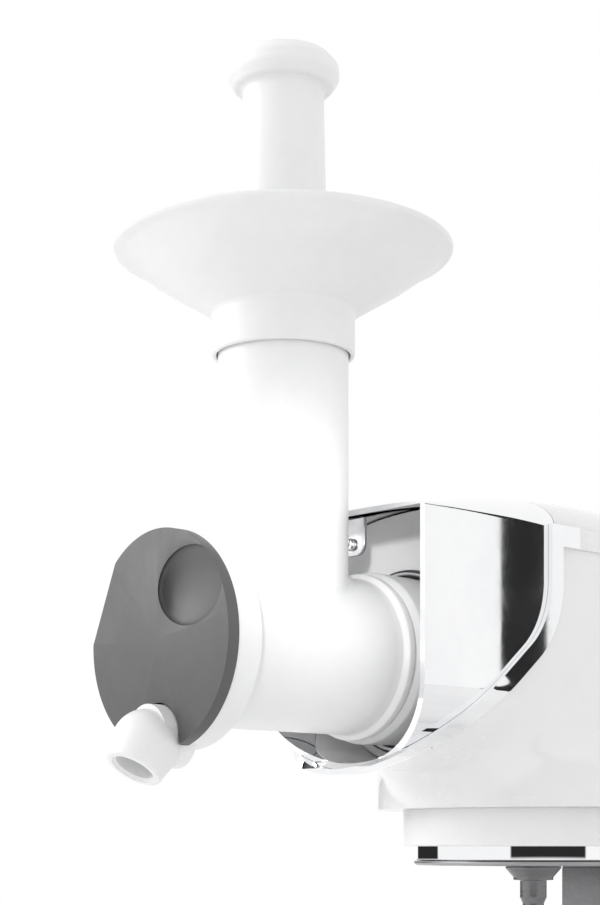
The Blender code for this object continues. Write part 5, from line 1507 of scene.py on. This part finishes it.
build_all()
carried_nodes({name for name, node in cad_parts.items() if node.hide_render})


# ---- Floor, light and camera ----


def make_floor():
    """Plain pale floor."""
    bm = bmesh.new()
    bmesh.ops.create_circle(bm, cap_ends=True, segments=96, radius=1.6)
    floor = from_bmesh("studio_floor", bm)
    mat, graph, shader = material("floor_finish", {"IOR": 1.4})
    rough = put(graph, MARKS, "Value", Scale=2.0, Low=0.55, High=0.70)
    graph.tree.links.new(rough, shader.inputs["Roughness"])
    tone = put(graph, MARKS, "Value", Scale=3.0, Low=0.0, High=1.0)
    base = blend_colour(graph, tone, (0.85, 0.85, 0.85), (0.88, 0.88, 0.88))
    graph.tree.links.new(base, shader.inputs["Base Color"])
    floor.data.materials.append(mat)


def make_world():
    """White surroundings, with dark and grey stretches that only reflections see."""
    world = bpy.data.worlds.new("studio")
    bpy.context.scene.world = world
    world.use_nodes = True
    world.node_tree.nodes.clear()
    graph = Graph(world.node_tree)
    way = graph.add("ShaderNodeTexCoord").outputs["Generated"]
    parts = graph.add("ShaderNodeSeparateXYZ", {0: way}).outputs
    turn = graph.math("ARCTAN2", parts[0], parts[1])
    azimuth = graph.math("MULTIPLY", turn, 180.0 / math.pi)
    height = graph.math("MULTIPLY", graph.math("ARCSINE", parts[2]), 180.0 / math.pi)

    def band(value, low, high, soft):
        rise = graph.ramp(value, low - soft, low + soft)
        fall = graph.ramp(value, high - soft, high + soft)
        return graph.math("SUBTRACT", rise, fall, clamp=True)

    level = band(height, -5.0, 5.0, 1.0)
    under = band(height, -50.0, -12.0, 3.0)
    dark = band(azimuth, 40.9, 42.3, 0.03)
    stretches = ((107.0, 170.5, level), (-111.5, -65.0, level), (-62.0, -12.0, under))
    for first, last, rows in stretches:
        dark = graph.math("MAXIMUM", dark, graph.math("MULTIPLY", band(azimuth, first, last, 1.0), rows))
    mirrored = graph.math("SUBTRACT", 1.0, graph.math("MULTIPLY", dark, 0.975))
    seen = graph.add("ShaderNodeLightPath").outputs["Is Glossy Ray"]
    shade = graph.add("ShaderNodeMix", {"Factor": seen, 2: 1.0, 3: mirrored}, data_type="FLOAT").outputs[0]
    colour = graph.add("ShaderNodeCombineColor", {0: shade, 1: shade, 2: shade}).outputs[0]
    light = graph.add("ShaderNodeBackground", {"Color": colour, "Strength": 1.0})
    graph.add("ShaderNodeOutputWorld", {"Surface": light.outputs[0]})


CAMERA_TURN = 48.5
CAMERA_DISTANCE = 0.832
CAMERA_ASIDE = 0.0075


def make_camera():
    """Camera level with the head's underside, shifted up to take in the pusher."""
    turn = math.radians(CAMERA_TURN)
    forward = Vector((-math.sin(turn), math.cos(turn), 0.0))
    right = Vector((math.cos(turn), math.sin(turn), 0.0))
    place = Vector((0.0, TUBE_Y, HEAD_DATUM)) - forward * CAMERA_DISTANCE + right * CAMERA_ASIDE
    camera = bpy.data.cameras.new("camera")
    camera.sensor_width = 36.0
    camera.lens = 73.6
    camera.shift_y = 0.436
    camera.clip_start = 0.02
    item = link(bpy.data.objects.new("camera", camera))
    item.location = place
    item.rotation_euler = (math.pi / 2, 0.0, turn)
    bpy.context.scene.camera = item


def lamp(name, kind, place, aim, power, **settings):
    """A lamp turned towards a point."""
    data = bpy.data.lights.new(name, kind)
    data.energy = power
    for key, value in settings.items():
        setattr(data, key, value)
    item = link(bpy.data.objects.new(name, data))
    item.location = place
    item.rotation_euler = (Vector(aim) - Vector(place)).to_track_quat("-Z", "Y").to_euler()


make_floor()
make_world()
make_camera()
beam_from = (0.70, TUBE_Y - 0.68, BARREL_Z + 0.10)
beam = {"spot_size": math.radians(9), "spot_blend": 1.0, "shadow_soft_size": 0.03}
lamp("recess_beam", "SPOT", beam_from, (-0.006, back(0.036), BARREL_Z + 0.040), 30.0, **beam)
bank = {"shape": "RECTANGLE", "size": 1.2, "size_y": 1.2}
lamp("left_bank", "AREA", (-1.1, -1.2, 1.1), (0.0, TUBE_Y, 0.33), 14.0, **bank)
bpy.context.scene.view_settings.view_transform = "Standard"
